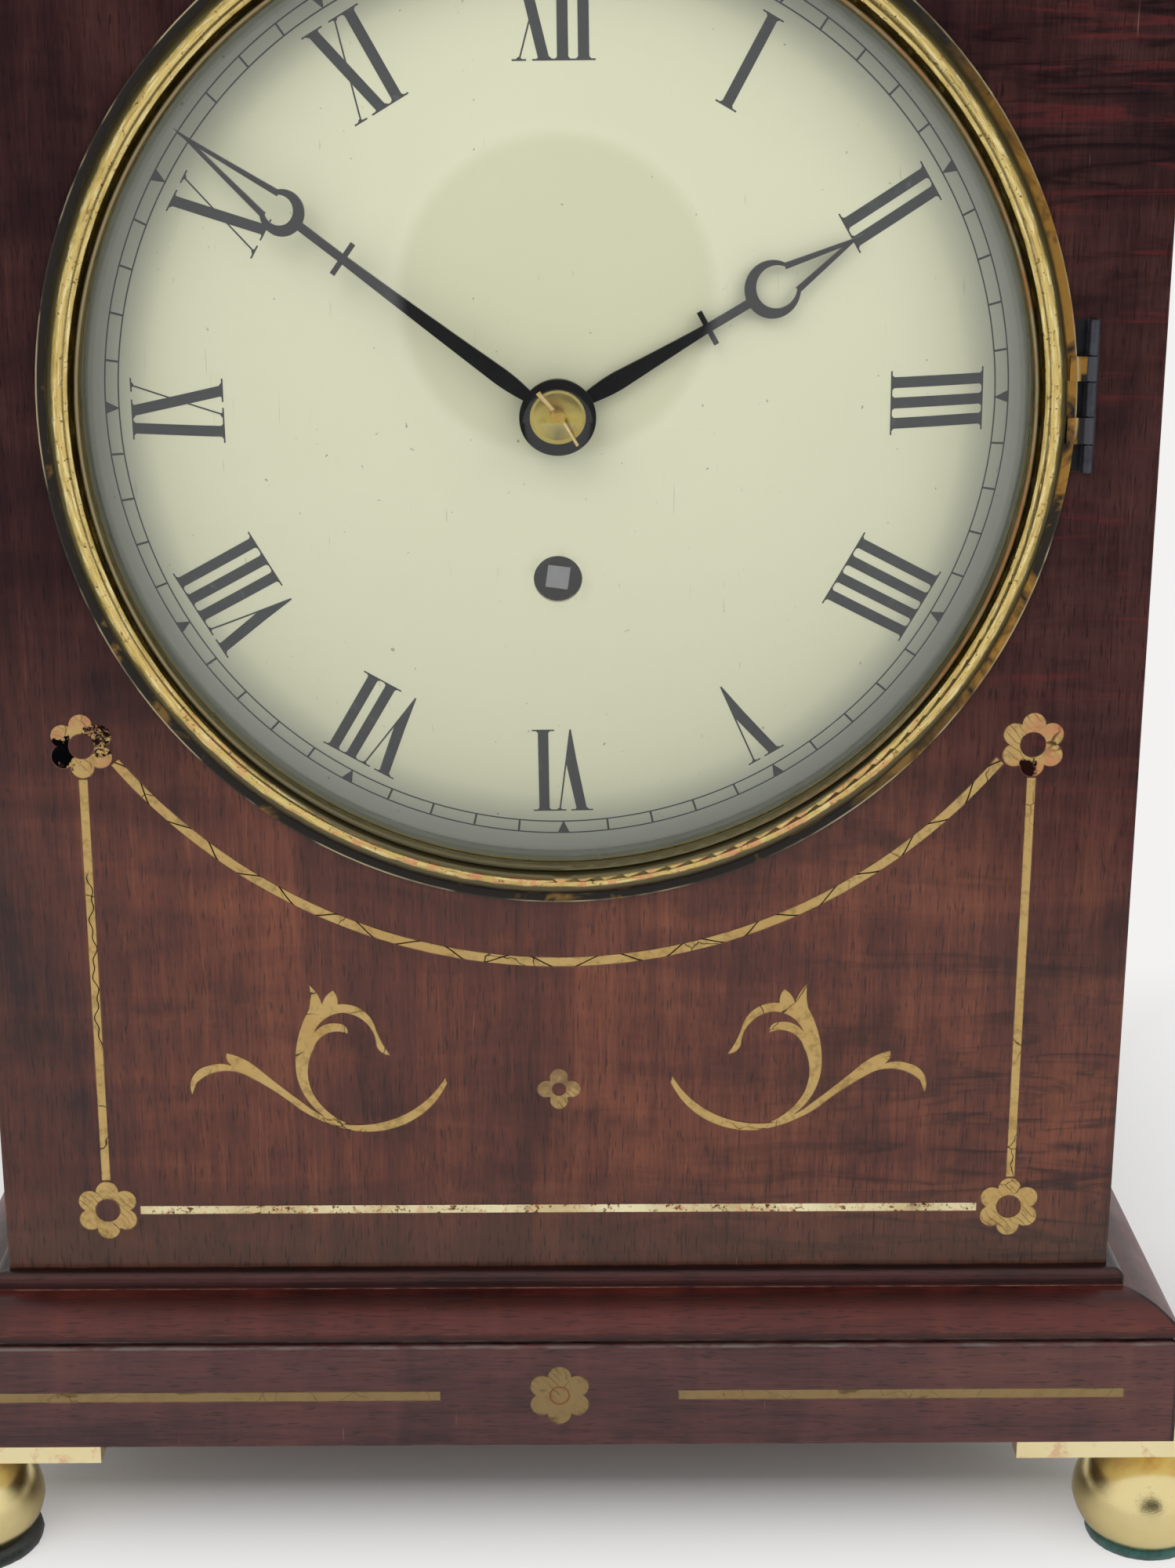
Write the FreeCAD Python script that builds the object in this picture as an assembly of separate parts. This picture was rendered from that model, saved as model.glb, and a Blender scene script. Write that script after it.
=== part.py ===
import FreeCAD, Part
import math
import os

# A mahogany bracket clock with brass inlay, a convex painted dial behind a hinged convex glass,
# one winding square and ball feet.
# Sizes are millimetres. X runs right, Y runs back from the front face of the case, Z runs up from
# the surface that the clock stands on. On writing, each piece is moved back along Y so that the
# origin lies under the middle of the clock's bounding box.

V = FreeCAD.Vector
TURN = 360.0

# ---- feet and base ----
PAD_T = 2.5
PAD_R = 12.9
LEFT_PAD_R = 15.6         # front left pad, renewed in a larger size
BALL_R = 16.3
BALL_LOW = 7.8            # ball's widest girth above its flat underside
BALL_FLAT_R = 12.4
NECK_R = 4.1
NECK_H = 2.7
FOOT_PLATE_T = 4.0
FOOT_PLATE_W = 49.6
FOOT_PLATE_D = 33.0
FOOT_SIDE_INSET = 1.8     # ball centre inside the plinth's side face
PLINTH_H = 24.6
PLINTH_T = 14.0
PLINTH_PROUD = 14.3
PLINTH_ROUND = 1.4
MOULD_H = 12.1
MOULD_PROUD = 14.2
BEAD_PROUD = 3.4
BEAD_H = 2.3
FILLET_H = 1.4
OVOLO_H = 5.6
QUIRK_D = 1.3
QUIRK_H = 1.1

# ---- case ----
CASE_W = 246.0
CASE_D = 155.0
BOARD_T = 12.0
DIAL_ABOVE_BASE = 191.9   # dial axis above the foot of the case sides
CASE_ABOVE_DIAL = 132.0
DIAL_OPENING_R = 99.3
BACK_RAIL_SIDE = 28.0
BACK_RAIL_END = 26.0
CORNICE_H = 14.0
CORNICE_PROUD = 11.0
CORNICE_FRAME = 18.0
ROOF_BOARD_H = 9.0
ROOF_BOARD_INSET = 5.0
ROOF_INSET = 13.0
ROOF_H = 36.0
ROOF_CAP_W = 84.0
ROOF_CAP_D = 40.0
ROOF_CAP_H = 7.0
FINIAL_BALL_R = 11.0
FINIAL_NECK_R = 3.6
FINIAL_BASE_R = 12.0
FINIAL_BASE_H = 5.0
FINIAL_TIP_H = 8.0

# ---- inlay ----
INLAY_T = 1.2
INLAY_GAP = 0.3
FLOWER_X = 100.3
FLOWER_TOP_DROP = 70.9    # below the dial axis
FLOWER_LOW_DROP = 177.8
FLOWER_R = 6.95
PETAL_R = 2.5
FLOWER_EYE_R = 2.75
LINE_W = 1.9
SWAG_R = 119.4
SWAG_W = 2.1
SWAG_END_DEG = 38.5
CENTRE_FLOWER_DROP = 149.1
CENTRE_FLOWER_R = 4.75
CENTRE_PETAL_R = 1.95
CENTRE_EYE_R = 1.55
PLINTH_FLOWER_R = 7.1
PLINTH_PETAL_R = 2.6
PLINTH_LINE_X0 = 26.4
PLINTH_LINE_X1 = 125.3
PLINTH_LINE_W = 2.3

# ---- side frets and ring handles ----
FRET_W = 66.0
FRET_H = 104.0
FRET_DROP = 142.0         # fret opening's sill below the dial axis
FRET_PLATE_T = 1.2
FRET_BORDER = 4.0
SCALE_R = 4.4
SCALE_BAR = 1.3
CLOTH_T = 0.8
HANDLE_RISE = 52.0        # boss centre above the dial axis
BOSS_R = 17.0
BOSS_H = 4.0
RING_R = 20.0
RING_WIRE_R = 2.5
LUG_W = 5.0
LUG_WALL = 2.2
LUG_PLAY = 0.5

# ---- bezel, glass and dial ----
BEZEL_R = 105.2
FLANGE_T = 1.2
ROLL_R = 3.6
ROLL_AT_R = 99.6
BEAD_R = 1.1
GLASS_SIGHT_R = 95.6
GLASS_R = 96.8
GLASS_T = 1.6
GLASS_RISE = 18.0
GLASS_SEAT_Y = 3.4        # seat in front of the case face
DOOR_GAP = 0.3
GLASS_RING_T = 1.2
HINGE_X = 107.8
HINGE_Y = 1.8             # hinge axis in front of the case face
HINGE_KNUCKLE_R = 1.1
HINGE_PIN_R = 0.5
HINGE_LEAF_X0 = 104.4
HINGE_LEAF_X1 = 109.4
HINGE_LEAF_T = 1.2
HINGE_TOP = 18.0          # leaf's top above the dial axis
HINGE_KNUCKLES = (7.0, 5.5, 6.8, 5.9, 5.6)
HINGE_GAP = 0.3
SIGHT_RING_T = 1.8
SIGHT_RING_Y0 = 1.5
DIAL_R = 100.5
DIAL_T = 1.5
DIAL_RING_R = 91.5
DIAL_RING_Y = 10.0        # minute ring behind the case face
DIAL_SPHERE_R = 249.0
DIAL_HOLE_R = 5.0
WINDING_DROP = 34.0
WINDING_HOLE_R = 4.95
DIAL_FOOT_R = 2.5
DIAL_FOOT_X = 34.0
DIAL_FOOT_Z = 49.0

# ---- hands ----
MINUTE_DEG = -54.2        # clockwise from twelve, as photographed
HOUR_DEG = 60.4
HAND_SPHERE_R = 252.0     # the hands are bent to follow the dial
HAND_T = 1.2
MINUTE_FACE_Y = -13.7
HAND_SPACE = 2.6
MINUTE_LEN = 93.4
MINUTE_BOSS_R = 7.6
MINUTE_EYE_AT = 66.5
MINUTE_EYE_R = 4.5
MINUTE_EYE_HOLE_R = 2.95
MINUTE_EYE_SHIFT = 0.85
MINUTE_EYE_MOUTH = 2.0
MINUTE_TINE_JOIN = 87.3
MINUTE_BAR_AT = 51.8
MINUTE_BLADE_HALF = 1.7
HOUR_LEN = 70.1
HOUR_BOSS_R = 7.2
HOUR_EYE_AT = 49.0
HOUR_EYE_R = 5.65
HOUR_EYE_HOLE_R = 4.2
HOUR_EYE_SHIFT = 0.95
HOUR_EYE_MOUTH = 2.1
HOUR_TINE_JOIN = 65.2
HOUR_BAR_AT = 34.2
HOUR_BLADE_HALF = 1.85
TINE_W = 1.15
BLADE_WIDE_AT = 6.5       # widest place of a blade, beyond the boss
STEM_HALF = 0.85
BAR_HALF = 3.6
BAR_W = 1.1
COLLET_R = 5.5
COLLET_H = 1.4
COLLET_RIM = 0.6
COLLET_DISH = 0.7         # depth of the hollow behind the rim
HAND_PIN_R = 0.6
HAND_PIN_LEN = 13.2
HAND_PIN_DEG = -53.5

# ---- movement ----
PLATE_W = 84.0
PLATE_T = 2.5
PLATE_TOP = 66.0
PLATE_DROP = 72.0
FRONT_PLATE_Y = 18.0
PLATE_GAP = 46.0
PILLAR_R = 4.0
PILLAR_X = 35.0
PILLAR_TOP = 58.0
PILLAR_DROP = 64.0
PILLAR_TENON_R = 2.4
PILLAR_TENON = 3.0
PIN_R = 0.7
PIN_LEN = 11.0
PIVOT_R = 0.7
ARBOR_R = 1.1
RUNNING = 0.05            # radial clearance of a turning fit
END_SHAKE = 0.3
CENTRE_ARBOR_R = 1.5
CANNON_R = 2.6
HOUR_PIPE_R = 4.0
SEAT_T = 10.0
SEAT_FRONT = 18.5
SEAT_D = 54.0
SEAT_SCREW_R = 1.8
CLEAT_W = 12.0
CLEAT_H = 16.0

# tooth counts and modules of each pair that meshes
BARREL_TEETH, INTER_PINION, BARREL_MODULE = 72, 12, 0.70
INTER_TEETH, CENTRE_PINION, INTER_MODULE = 64, 12, 0.60
CENTRE_TEETH, THIRD_PINION, CENTRE_MODULE = 84, 7, 0.48
THIRD_TEETH, ESCAPE_PINION, THIRD_MODULE = 77, 7, 0.45
MINUTE_TEETH, CANNON_TEETH, CANNON_MODULE = 48, 16, 0.60
HOUR_TEETH, MINUTE_PINION, HOUR_MODULE = 48, 12, 0.64
ESCAPE_TEETH = 30
ESCAPE_R = 15.0
ESCAPE_TOOTH = 3.0
PALLET_CLEAR = 1.2
PALLET_SPAN_DEG = 41.0
RATCHET_TEETH = 24
RATCHET_R = 9.0
RATCHET_TOOTH = 1.3
RATCHET_T = 2.4
CLICK_GAP = 0.35
WHEEL_T = 1.6
THIRD_BEARING_DEG = 125.0
MINUTE_WHEEL_DEG = 45.0

BARREL_Y = 36.0
BARREL_TOOTH_T = 2.5
BARREL_R = 23.0
BARREL_WALL = 1.5
BARREL_LEN = 26.0
BARREL_ARBOR_R = 4.0
WINDING_PIVOT_R = 3.4
WINDING_SQUARE = 4.6
WINDING_TURN_DEG = 8.0
WINDING_END_Y = -3.0
SPRING_T = 0.45
SPRING_PITCH = 1.1
SPRING_TURNS = 8
INTER_WHEEL_Y = 26.0
INTER_PINION_Y = 34.5
CENTRE_PINION_Y = 24.4
CENTRE_WHEEL_Y = 31.0
THIRD_PINION_Y = 29.4
THIRD_WHEEL_Y = 52.0
ESCAPE_PINION_Y = 50.0
ESCAPE_WHEEL_Y = 42.0
PINION_LEN = 5.4
PALLET_ARBOR_RISE = 21.2
CANNON_WHEEL_Y = 13.5
CANNON_WHEEL_T = 2.0
HOUR_WHEEL_Y = 9.5

# ---- pendulum and back cock ----
COCK_STAND = 8.5
COCK_T = 2.5
COCK_W = 44.0
COCK_H = 15.0
COCK_LEG_W = 9.0
CHOP_W = 8.0
CHOP_H = 11.0
CHOP_D = 7.5
CHOP_RISE = 1.5
CHOP_SLOT = 1.6
SUSPENSION_UP = 5.0
PENDULUM_LEN = 203.0
SUSPENSION_LEN = 13.0
SUSPENSION_T = 0.4
SUSPENSION_W = 6.0
ROD_R = 1.4
BOB_R = 23.0
BOB_T = 12.0
RATING_NUT_R = 4.0
RATING_NUT_H = 4.0
RATING_SCREW = 8.0
CRUTCH_LEN = 52.0
CRUTCH_W = 2.2
CRUTCH_PLAY = 0.35

# ---- back door ----
DOOR_CLEAR = 0.8
DOOR_STILE = 24.0
PANE_T = 3.0
REBATE = 5.0
BACK_HINGE_R = 2.0
BACK_HINGE_H = 26.0
BACK_HINGE_LEAF = 11.0
BACK_HINGE_LEAF_T = 1.2
BACK_PIN_R = 0.9
KNOB_R = 7.0
KNOB_LEN = 11.0

# ---- places worked out from the sizes ----
FOOT_H = PAD_T + BALL_LOW + BALL_R + NECK_H
PLINTH_Z = FOOT_H + FOOT_PLATE_T
MOULD_Z = PLINTH_Z + PLINTH_H
CASE_Z = MOULD_Z + MOULD_H
DIAL_Z = CASE_Z + DIAL_ABOVE_BASE
TOP_Z = DIAL_Z + CASE_ABOVE_DIAL
HALF_W = CASE_W / 2
PLINTH_HALF = HALF_W + PLINTH_PROUD
BACK_Y = CASE_D
INNER_BACK_Y = BACK_Y - BOARD_T
GLASS_SPHERE_R = (GLASS_SIGHT_R ** 2 + GLASS_RISE ** 2) / (2 * GLASS_RISE)
GLASS_FRONT_Y = -GLASS_SEAT_Y - GLASS_RISE
BACK_HINGE_Y = BACK_Y + BACK_HINGE_R
KNOB_END_Y = BACK_Y + KNOB_LEN
MID_Y = (GLASS_FRONT_Y + KNOB_END_Y) / 2
DIAL_APEX_Y = DIAL_RING_Y - (DIAL_SPHERE_R - math.sqrt(DIAL_SPHERE_R ** 2 - DIAL_RING_R ** 2))
HOUR_FACE_Y = MINUTE_FACE_Y + HAND_T + HAND_SPACE
PLATE_IN_Y = FRONT_PLATE_Y + PLATE_T
BACK_PLATE_Y = PLATE_IN_Y + PLATE_GAP
PLATE_OUT_Y = BACK_PLATE_Y + PLATE_T
PENDULUM_Y = PLATE_OUT_Y + COCK_STAND + COCK_T + CHOP_D / 2


def gear_distance(teeth, leaves, module):
    """Centre distance of a wheel and a pinion of one module."""
    return module * (teeth + leaves) / 2


def meeting_point(first, first_r, second, second_r, side):
    """Point at two given distances from two points, on the side that has the given sign of X."""
    dx = second[0] - first[0]
    dz = second[1] - first[1]
    gap = math.hypot(dx, dz)
    along = (first_r ** 2 - second_r ** 2 + gap ** 2) / (2 * gap)
    across = math.sqrt(first_r ** 2 - along ** 2)
    x = first[0] + along * dx / gap - side * across * dz / gap
    z = first[1] + along * dz / gap + side * across * dx / gap
    return (x, z)


CENTRE = (0.0, DIAL_Z)
WINDING = (0.0, DIAL_Z - WINDING_DROP)
INTER = meeting_point(
    CENTRE,
    gear_distance(INTER_TEETH, CENTRE_PINION, INTER_MODULE),
    WINDING,
    gear_distance(BARREL_TEETH, INTER_PINION, BARREL_MODULE),
    1,
)
THIRD_REACH = gear_distance(CENTRE_TEETH, THIRD_PINION, CENTRE_MODULE)
THIRD = (
    THIRD_REACH * math.cos(math.radians(THIRD_BEARING_DEG)),
    DIAL_Z + THIRD_REACH * math.sin(math.radians(THIRD_BEARING_DEG)),
)
ESCAPE_REACH = gear_distance(THIRD_TEETH, ESCAPE_PINION, THIRD_MODULE)
ESCAPE = (0.0, THIRD[1] + math.sqrt(ESCAPE_REACH ** 2 - THIRD[0] ** 2))
PALLET = (0.0, ESCAPE[1] + PALLET_ARBOR_RISE)
MINUTE_REACH = gear_distance(MINUTE_TEETH, CANNON_TEETH, CANNON_MODULE)
MINUTE = (
    MINUTE_REACH * math.cos(math.radians(MINUTE_WHEEL_DEG)),
    DIAL_Z + MINUTE_REACH * math.sin(math.radians(MINUTE_WHEEL_DEG)),
)


# ---- shared shapes ----
def box(x0, x1, y0, y1, z0, z1):
    return Part.makeBox(x1 - x0, y1 - y0, z1 - z0, V(x0, y0, z0))


def rod_y(r, y0, y1, at):
    return Part.makeCylinder(r, y1 - y0, V(at[0], y0, at[1]), V(0, 1, 0))


def rod_z(r, z0, z1, x, y):
    return Part.makeCylinder(r, z1 - z0, V(x, y, z0), V(0, 0, 1))


def tube_y(outer, inner, y0, y1, at):
    return rod_y(outer, y0, y1, at).cut(rod_y(inner, y0, y1, at))


def join(shapes):
    """One solid from pieces that meet or overlap."""
    whole = shapes[0]
    if len(shapes) > 1:
        whole = whole.fuse(shapes[1:])
    return whole.removeSplitter()


def wire_of(path, place):
    """Closed wire. A path step (u, v) is a line, and (u, v, mid u, mid v) is an arc to u, v."""
    edges = []
    last = path[0]
    for step in path[1:] + [path[0][:2]]:
        start = place(last[0], last[1])
        end = place(step[0], step[1])
        if len(step) == 4:
            edges.append(Part.Arc(start, place(step[2], step[3]), end).toShape())
        elif start.distanceToPoint(end) > 1e-6:
            edges.append(Part.LineSegment(start, end).toShape())
        last = step
    return Part.Wire(edges)


def front_prism(path, y0, y1):
    """Solid with an outline drawn on the front, in X and Z."""
    face = Part.Face(wire_of(path, lambda u, v: V(u, y0, v)))
    return face.extrude(V(0, y1 - y0, 0))


def plan_prism(path, z0, z1):
    """Solid with an outline drawn in plan, in X and Y."""
    face = Part.Face(wire_of(path, lambda u, v: V(u, v, z0)))
    return face.extrude(V(0, 0, z1 - z0))


def turned_y(path, at):
    """Solid turned about an axis along Y, from an outline of radius and Y."""
    face = Part.Face(wire_of(path, lambda u, v: V(at[0] + u, v, at[1])))
    return face.revolve(V(at[0], 0, at[1]), V(0, 1, 0), TURN)


def turned_z(path, x, y):
    """Solid turned about an upright axis, from an outline of radius and Z."""
    face = Part.Face(wire_of(path, lambda u, v: V(x + u, y, v)))
    return face.revolve(V(x, y, 0), V(0, 0, 1), TURN)


def mirrored(shape):
    """The same piece on the other side of the clock's middle."""
    return shape.mirror(V(0, 0, 0), V(1, 0, 0))


def spun(shape, at, degrees):
    """A copy turned clockwise, seen from the front, about an axis along Y."""
    copy = shape.copy()
    copy.rotate(V(at[0], 0, at[1]), V(0, 1, 0), degrees)
    return copy


def write(node, shapes):
    """One STEP file per node, moved so that the origin is under the middle of the clock."""
    if not isinstance(shapes, list):
        shapes = [shapes]
    solids = [solid for shape in shapes for solid in shape.Solids]
    whole = solids[0] if len(solids) == 1 else Part.makeCompound(solids)
    whole = whole.copy()
    whole.translate(V(0, -MID_Y, 0))
    whole.exportStep("parts/" + node + ".step")


# ---- case ----
def mitred_runs(path, half_w, front_y, low_q, high_q):
    """A front strip and two side strips of one section, mitred at the front corners.

    The section is drawn as distance out from the rectangle's faces and as Z.
    """
    reach = high_q + CASE_W
    front = Part.Face(wire_of(path, lambda q, z: V(-reach, front_y - q, z)))
    front = front.extrude(V(2 * reach, 0, 0))
    side = Part.Face(wire_of(path, lambda q, z: V(half_w + q, front_y - reach, z)))
    side = side.extrude(V(0, BACK_Y - front_y + reach, 0))
    z0 = min(step[1] for step in path)
    z1 = max(step[1] for step in path)
    front_plan = [
        (-half_w - high_q, front_y - high_q),
        (half_w + high_q, front_y - high_q),
        (half_w + low_q, front_y - low_q),
        (-half_w - low_q, front_y - low_q),
    ]
    side_plan = [
        (half_w + low_q, front_y - low_q),
        (half_w + high_q, front_y - high_q),
        (half_w + high_q, BACK_Y),
        (half_w + low_q, BACK_Y),
    ]
    front = front.common(plan_prism(front_plan, z0, z1))
    side = side.common(plan_prism(side_plan, z0, z1))
    return [front, side, mirrored(side)]


def base_moulding():
    bead_z = CASE_Z - BEAD_H
    ovolo_top = bead_z - FILLET_H
    ovolo_low = ovolo_top - OVOLO_H
    quirk_z = MOULD_Z + QUIRK_H
    bulge = 0.63
    path = [
        (0, CASE_Z),
        (BEAD_PROUD / 2, CASE_Z),
        (BEAD_PROUD, bead_z, BEAD_PROUD * 0.93, CASE_Z - BEAD_H * 0.42),
        (BEAD_PROUD, ovolo_top),
        (
            MOULD_PROUD,
            ovolo_low,
            BEAD_PROUD + (MOULD_PROUD - BEAD_PROUD) * bulge,
            ovolo_top - OVOLO_H * (1 - bulge),
        ),
        (MOULD_PROUD, quirk_z),
        (MOULD_PROUD - QUIRK_D, quirk_z),
        (MOULD_PROUD - QUIRK_D, MOULD_Z),
        (0, MOULD_Z),
    ]
    return mitred_runs(path, HALF_W, 0, 0, MOULD_PROUD)


def plinth_boards():
    turn = PLINTH_ROUND * (1 - math.sqrt(0.5))
    path = [
        (0, PLINTH_Z),
        (0, MOULD_Z - PLINTH_ROUND),
        (-PLINTH_ROUND, MOULD_Z, -turn, MOULD_Z - turn),
        (-PLINTH_T, MOULD_Z),
        (-PLINTH_T, PLINTH_Z),
    ]
    runs = mitred_runs(path, PLINTH_HALF, -PLINTH_PROUD, -PLINTH_T, 0)
    inner = PLINTH_HALF - PLINTH_T
    runs.append(box(-inner, inner, BACK_Y - PLINTH_T, BACK_Y, PLINTH_Z, MOULD_Z))
    runs[0] = cut_all(runs[0], plinth_inlay_lines() + [plinth_flower()])
    return runs


def foot_places():
    """Ball centres and the Y of each foot plate's outer edge."""
    x = PLINTH_HALF - FOOT_SIDE_INSET
    front = -PLINTH_PROUD
    places = []
    for side in (-1, 1):
        places.append((side * x, front + BALL_R, front, front + FOOT_PLATE_D))
        places.append((side * x, BACK_Y - BALL_R, BACK_Y - FOOT_PLATE_D, BACK_Y))
    return places


def ball_foot(x, y):
    girth = PAD_T + BALL_LOW
    crown = girth + math.sqrt(BALL_R ** 2 - NECK_R ** 2)
    slope = math.radians(45)
    low_slope = math.sqrt(1 - ((BALL_R + BALL_FLAT_R) / 2 / BALL_R) ** 2)
    path = [
        (0, PAD_T),
        (BALL_FLAT_R, PAD_T),
        (BALL_R, girth, (BALL_R + BALL_FLAT_R) / 2 + 0.9, girth - BALL_LOW * low_slope * 0.93),
        (NECK_R, crown, BALL_R * math.cos(slope), girth + BALL_R * math.sin(slope)),
        (NECK_R, FOOT_H),
        (0, FOOT_H),
    ]
    return turned_z(path, x, y)


def foot_pads(places):
    pads = []
    for x, y, y0, y1 in places:
        radius = LEFT_PAD_R if (x, y) == places[0][:2] else PAD_R
        pads.append(rod_z(radius, 0, PAD_T, x, y))
    return pads


def foot_plate(x, y0, y1):
    outer = abs(x) + BALL_R
    plate = box(outer - FOOT_PLATE_W, outer, y0, y1, FOOT_H, PLINTH_Z)
    return plate if x > 0 else mirrored(plate)


def flower(x, z, y0, radius, petal_r, petals, eye_r):
    """Petals round a disc, with an open eye where the wood shows."""
    reach = radius - petal_r
    parts = [rod_y(reach, y0, y0 + INLAY_T, (x, z))]
    for i in range(petals):
        angle = math.radians(90 + i * TURN / petals)
        at = (x + reach * math.cos(angle), z + reach * math.sin(angle))
        parts.append(rod_y(petal_r, y0, y0 + INLAY_T, at))
    whole = join(parts)
    if eye_r > 0:
        whole = whole.cut(rod_y(eye_r, y0, y0 + INLAY_T, (x, z)))
    return whole


def corner_flowers():
    pieces = []
    for drop in (FLOWER_TOP_DROP, FLOWER_LOW_DROP):
        for side in (-1, 1):
            pieces.append(
                flower(side * FLOWER_X, DIAL_Z - drop, 0, FLOWER_R, PETAL_R, 6, FLOWER_EYE_R)
            )
    pieces.append(
        flower(0, DIAL_Z - CENTRE_FLOWER_DROP, 0, CENTRE_FLOWER_R, CENTRE_PETAL_R, 4, CENTRE_EYE_R)
    )
    return pieces


def plinth_flower():
    z = (PLINTH_Z + MOULD_Z) / 2
    return flower(0, z, -PLINTH_PROUD, PLINTH_FLOWER_R, PLINTH_PETAL_R, 6, 0)


def plinth_inlay_lines():
    z = (PLINTH_Z + MOULD_Z) / 2
    face = -PLINTH_PROUD
    half = PLINTH_LINE_W / 2
    right = box(PLINTH_LINE_X0, PLINTH_LINE_X1, face, face + INLAY_T, z - half, z + half)
    return [right, mirrored(right)]


def case_inlay_lines():
    half = LINE_W / 2
    clear = FLOWER_R + INLAY_GAP
    top = DIAL_Z - FLOWER_TOP_DROP - clear
    low = DIAL_Z - FLOWER_LOW_DROP
    upright = box(FLOWER_X - half, FLOWER_X + half, 0, INLAY_T, low + clear, top)
    level = box(-FLOWER_X + clear, FLOWER_X - clear, 0, INLAY_T, low - half, low + half)
    return [upright, mirrored(upright), level]


def swag():
    """A band on a circle round the dial axis, hung between the upper flowers."""
    def at(radius, degrees):
        angle = math.radians(degrees)
        return (radius * math.cos(angle), DIAL_Z + radius * math.sin(angle))

    inner = SWAG_R - SWAG_W / 2
    outer = SWAG_R + SWAG_W / 2
    start = -180 + SWAG_END_DEG
    end = -SWAG_END_DEG
    path = [
        at(inner, start),
        at(outer, start),
        at(outer, end) + at(outer, -90),
        at(inner, end),
        at(inner, start) + at(inner, -90),
    ]
    return front_prism(path, 0, INLAY_T)


def scroll():
    """The left foliate scroll: a long branch with a leaf, and a stem that ends in three leaves."""
    def shifted(path):
        moved = []
        for step in path:
            if len(step) == 4:
                moved.append((step[0], DIAL_Z + step[1], step[2], DIAL_Z + step[3]))
            else:
                moved.append((step[0], DIAL_Z + step[1]))
        return moved

    branch = [
        (-80.4, -150.1),
        (-76.7, -143.3, -80.0, -145.6),
        (-71.4, -143.3, -74.0, -142.8),
        (-72.5, -140.3, -72.5, -141.9),
        (-66.6, -143.2, -69.8, -141.2),
        (-54.8, -153.3, -60.6, -148.5),
        (-47.6, -157.2, -51.3, -155.6),
        (-24.9, -146.2, -34.6, -155.3),
        (-24.5, -147.6),
        (-45.0, -158.9, -33.9, -157.3),
        (-57.2, -153.5, -51.6, -156.8),
        (-67.6, -146.0, -62.6, -149.2),
        (-79.3, -147.3, -74.0, -144.6),
    ]
    stem = [
        (-48.4, -157.3),
        (-57.6, -144.0, -55.3, -151.4),
        (-54.3, -130.2, -56.9, -136.8),
        (-54.1, -124.5, -53.9, -127.3),
        (-51.4, -129.0, -52.2, -126.9),
        (-49.0, -125.8, -50.5, -127.1),
        (-48.0, -129.0, -48.1, -127.4),
        (-40.1, -134.0, -43.2, -130.0),
        (-36.9, -140.9, -38.8, -137.6),
        (-39.8, -138.7, -38.7, -140.3),
        (-46.9, -131.0, -42.7, -132.7),
        (-53.4, -135.8, -50.8, -132.4),
        (-47.8, -133.5, -51.1, -133.8),
        (-46.0, -135.9, -46.3, -134.3),
        (-53.5, -139.4, -50.6, -135.9),
        (-53.9, -150.0, -54.9, -144.8),
        (-46.5, -157.1, -50.5, -154.5),
    ]
    left = join([front_prism(shifted(branch), 0, INLAY_T), front_prism(shifted(stem), 0, INLAY_T)])
    return [left, mirrored(left)]


def cut_all(shape, tools):
    return shape.cut(tools)


def front_panel(inlays):
    panel = box(-HALF_W, HALF_W, 0, BOARD_T, CASE_Z, TOP_Z)
    panel = panel.cut(rod_y(DIAL_OPENING_R, 0, BOARD_T, CENTRE))
    return cut_all(panel, inlays + [hinge_leaf_recess()])


def side_panel():
    """Right side, with an arched fret opening rebated for the brass fret."""
    panel = box(HALF_W - BOARD_T, HALF_W, BOARD_T, INNER_BACK_Y, CASE_Z, TOP_Z)
    panel = panel.cut(arch_prism(FRET_BORDER, HALF_W - BOARD_T, HALF_W))
    return panel.cut(arch_prism(0, HALF_W - FRET_PLATE_T - CLOTH_T, HALF_W))


def arch_path(inset):
    """Fret outline in Y and Z: a straight sill and sides under a round arch."""
    mid = CASE_D / 2
    half = FRET_W / 2 - inset
    sill = DIAL_Z - FRET_DROP + inset
    spring = DIAL_Z - FRET_DROP + FRET_H - FRET_W / 2
    return [
        (mid - half, sill),
        (mid + half, sill),
        (mid + half, spring),
        (mid - half, spring, mid, spring + half),
    ]


def arch_prism(inset, x0, x1):
    face = Part.Face(wire_of(arch_path(inset), lambda u, v: V(x0, u, v)))
    return face.extrude(V(x1 - x0, 0, 0))


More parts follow.
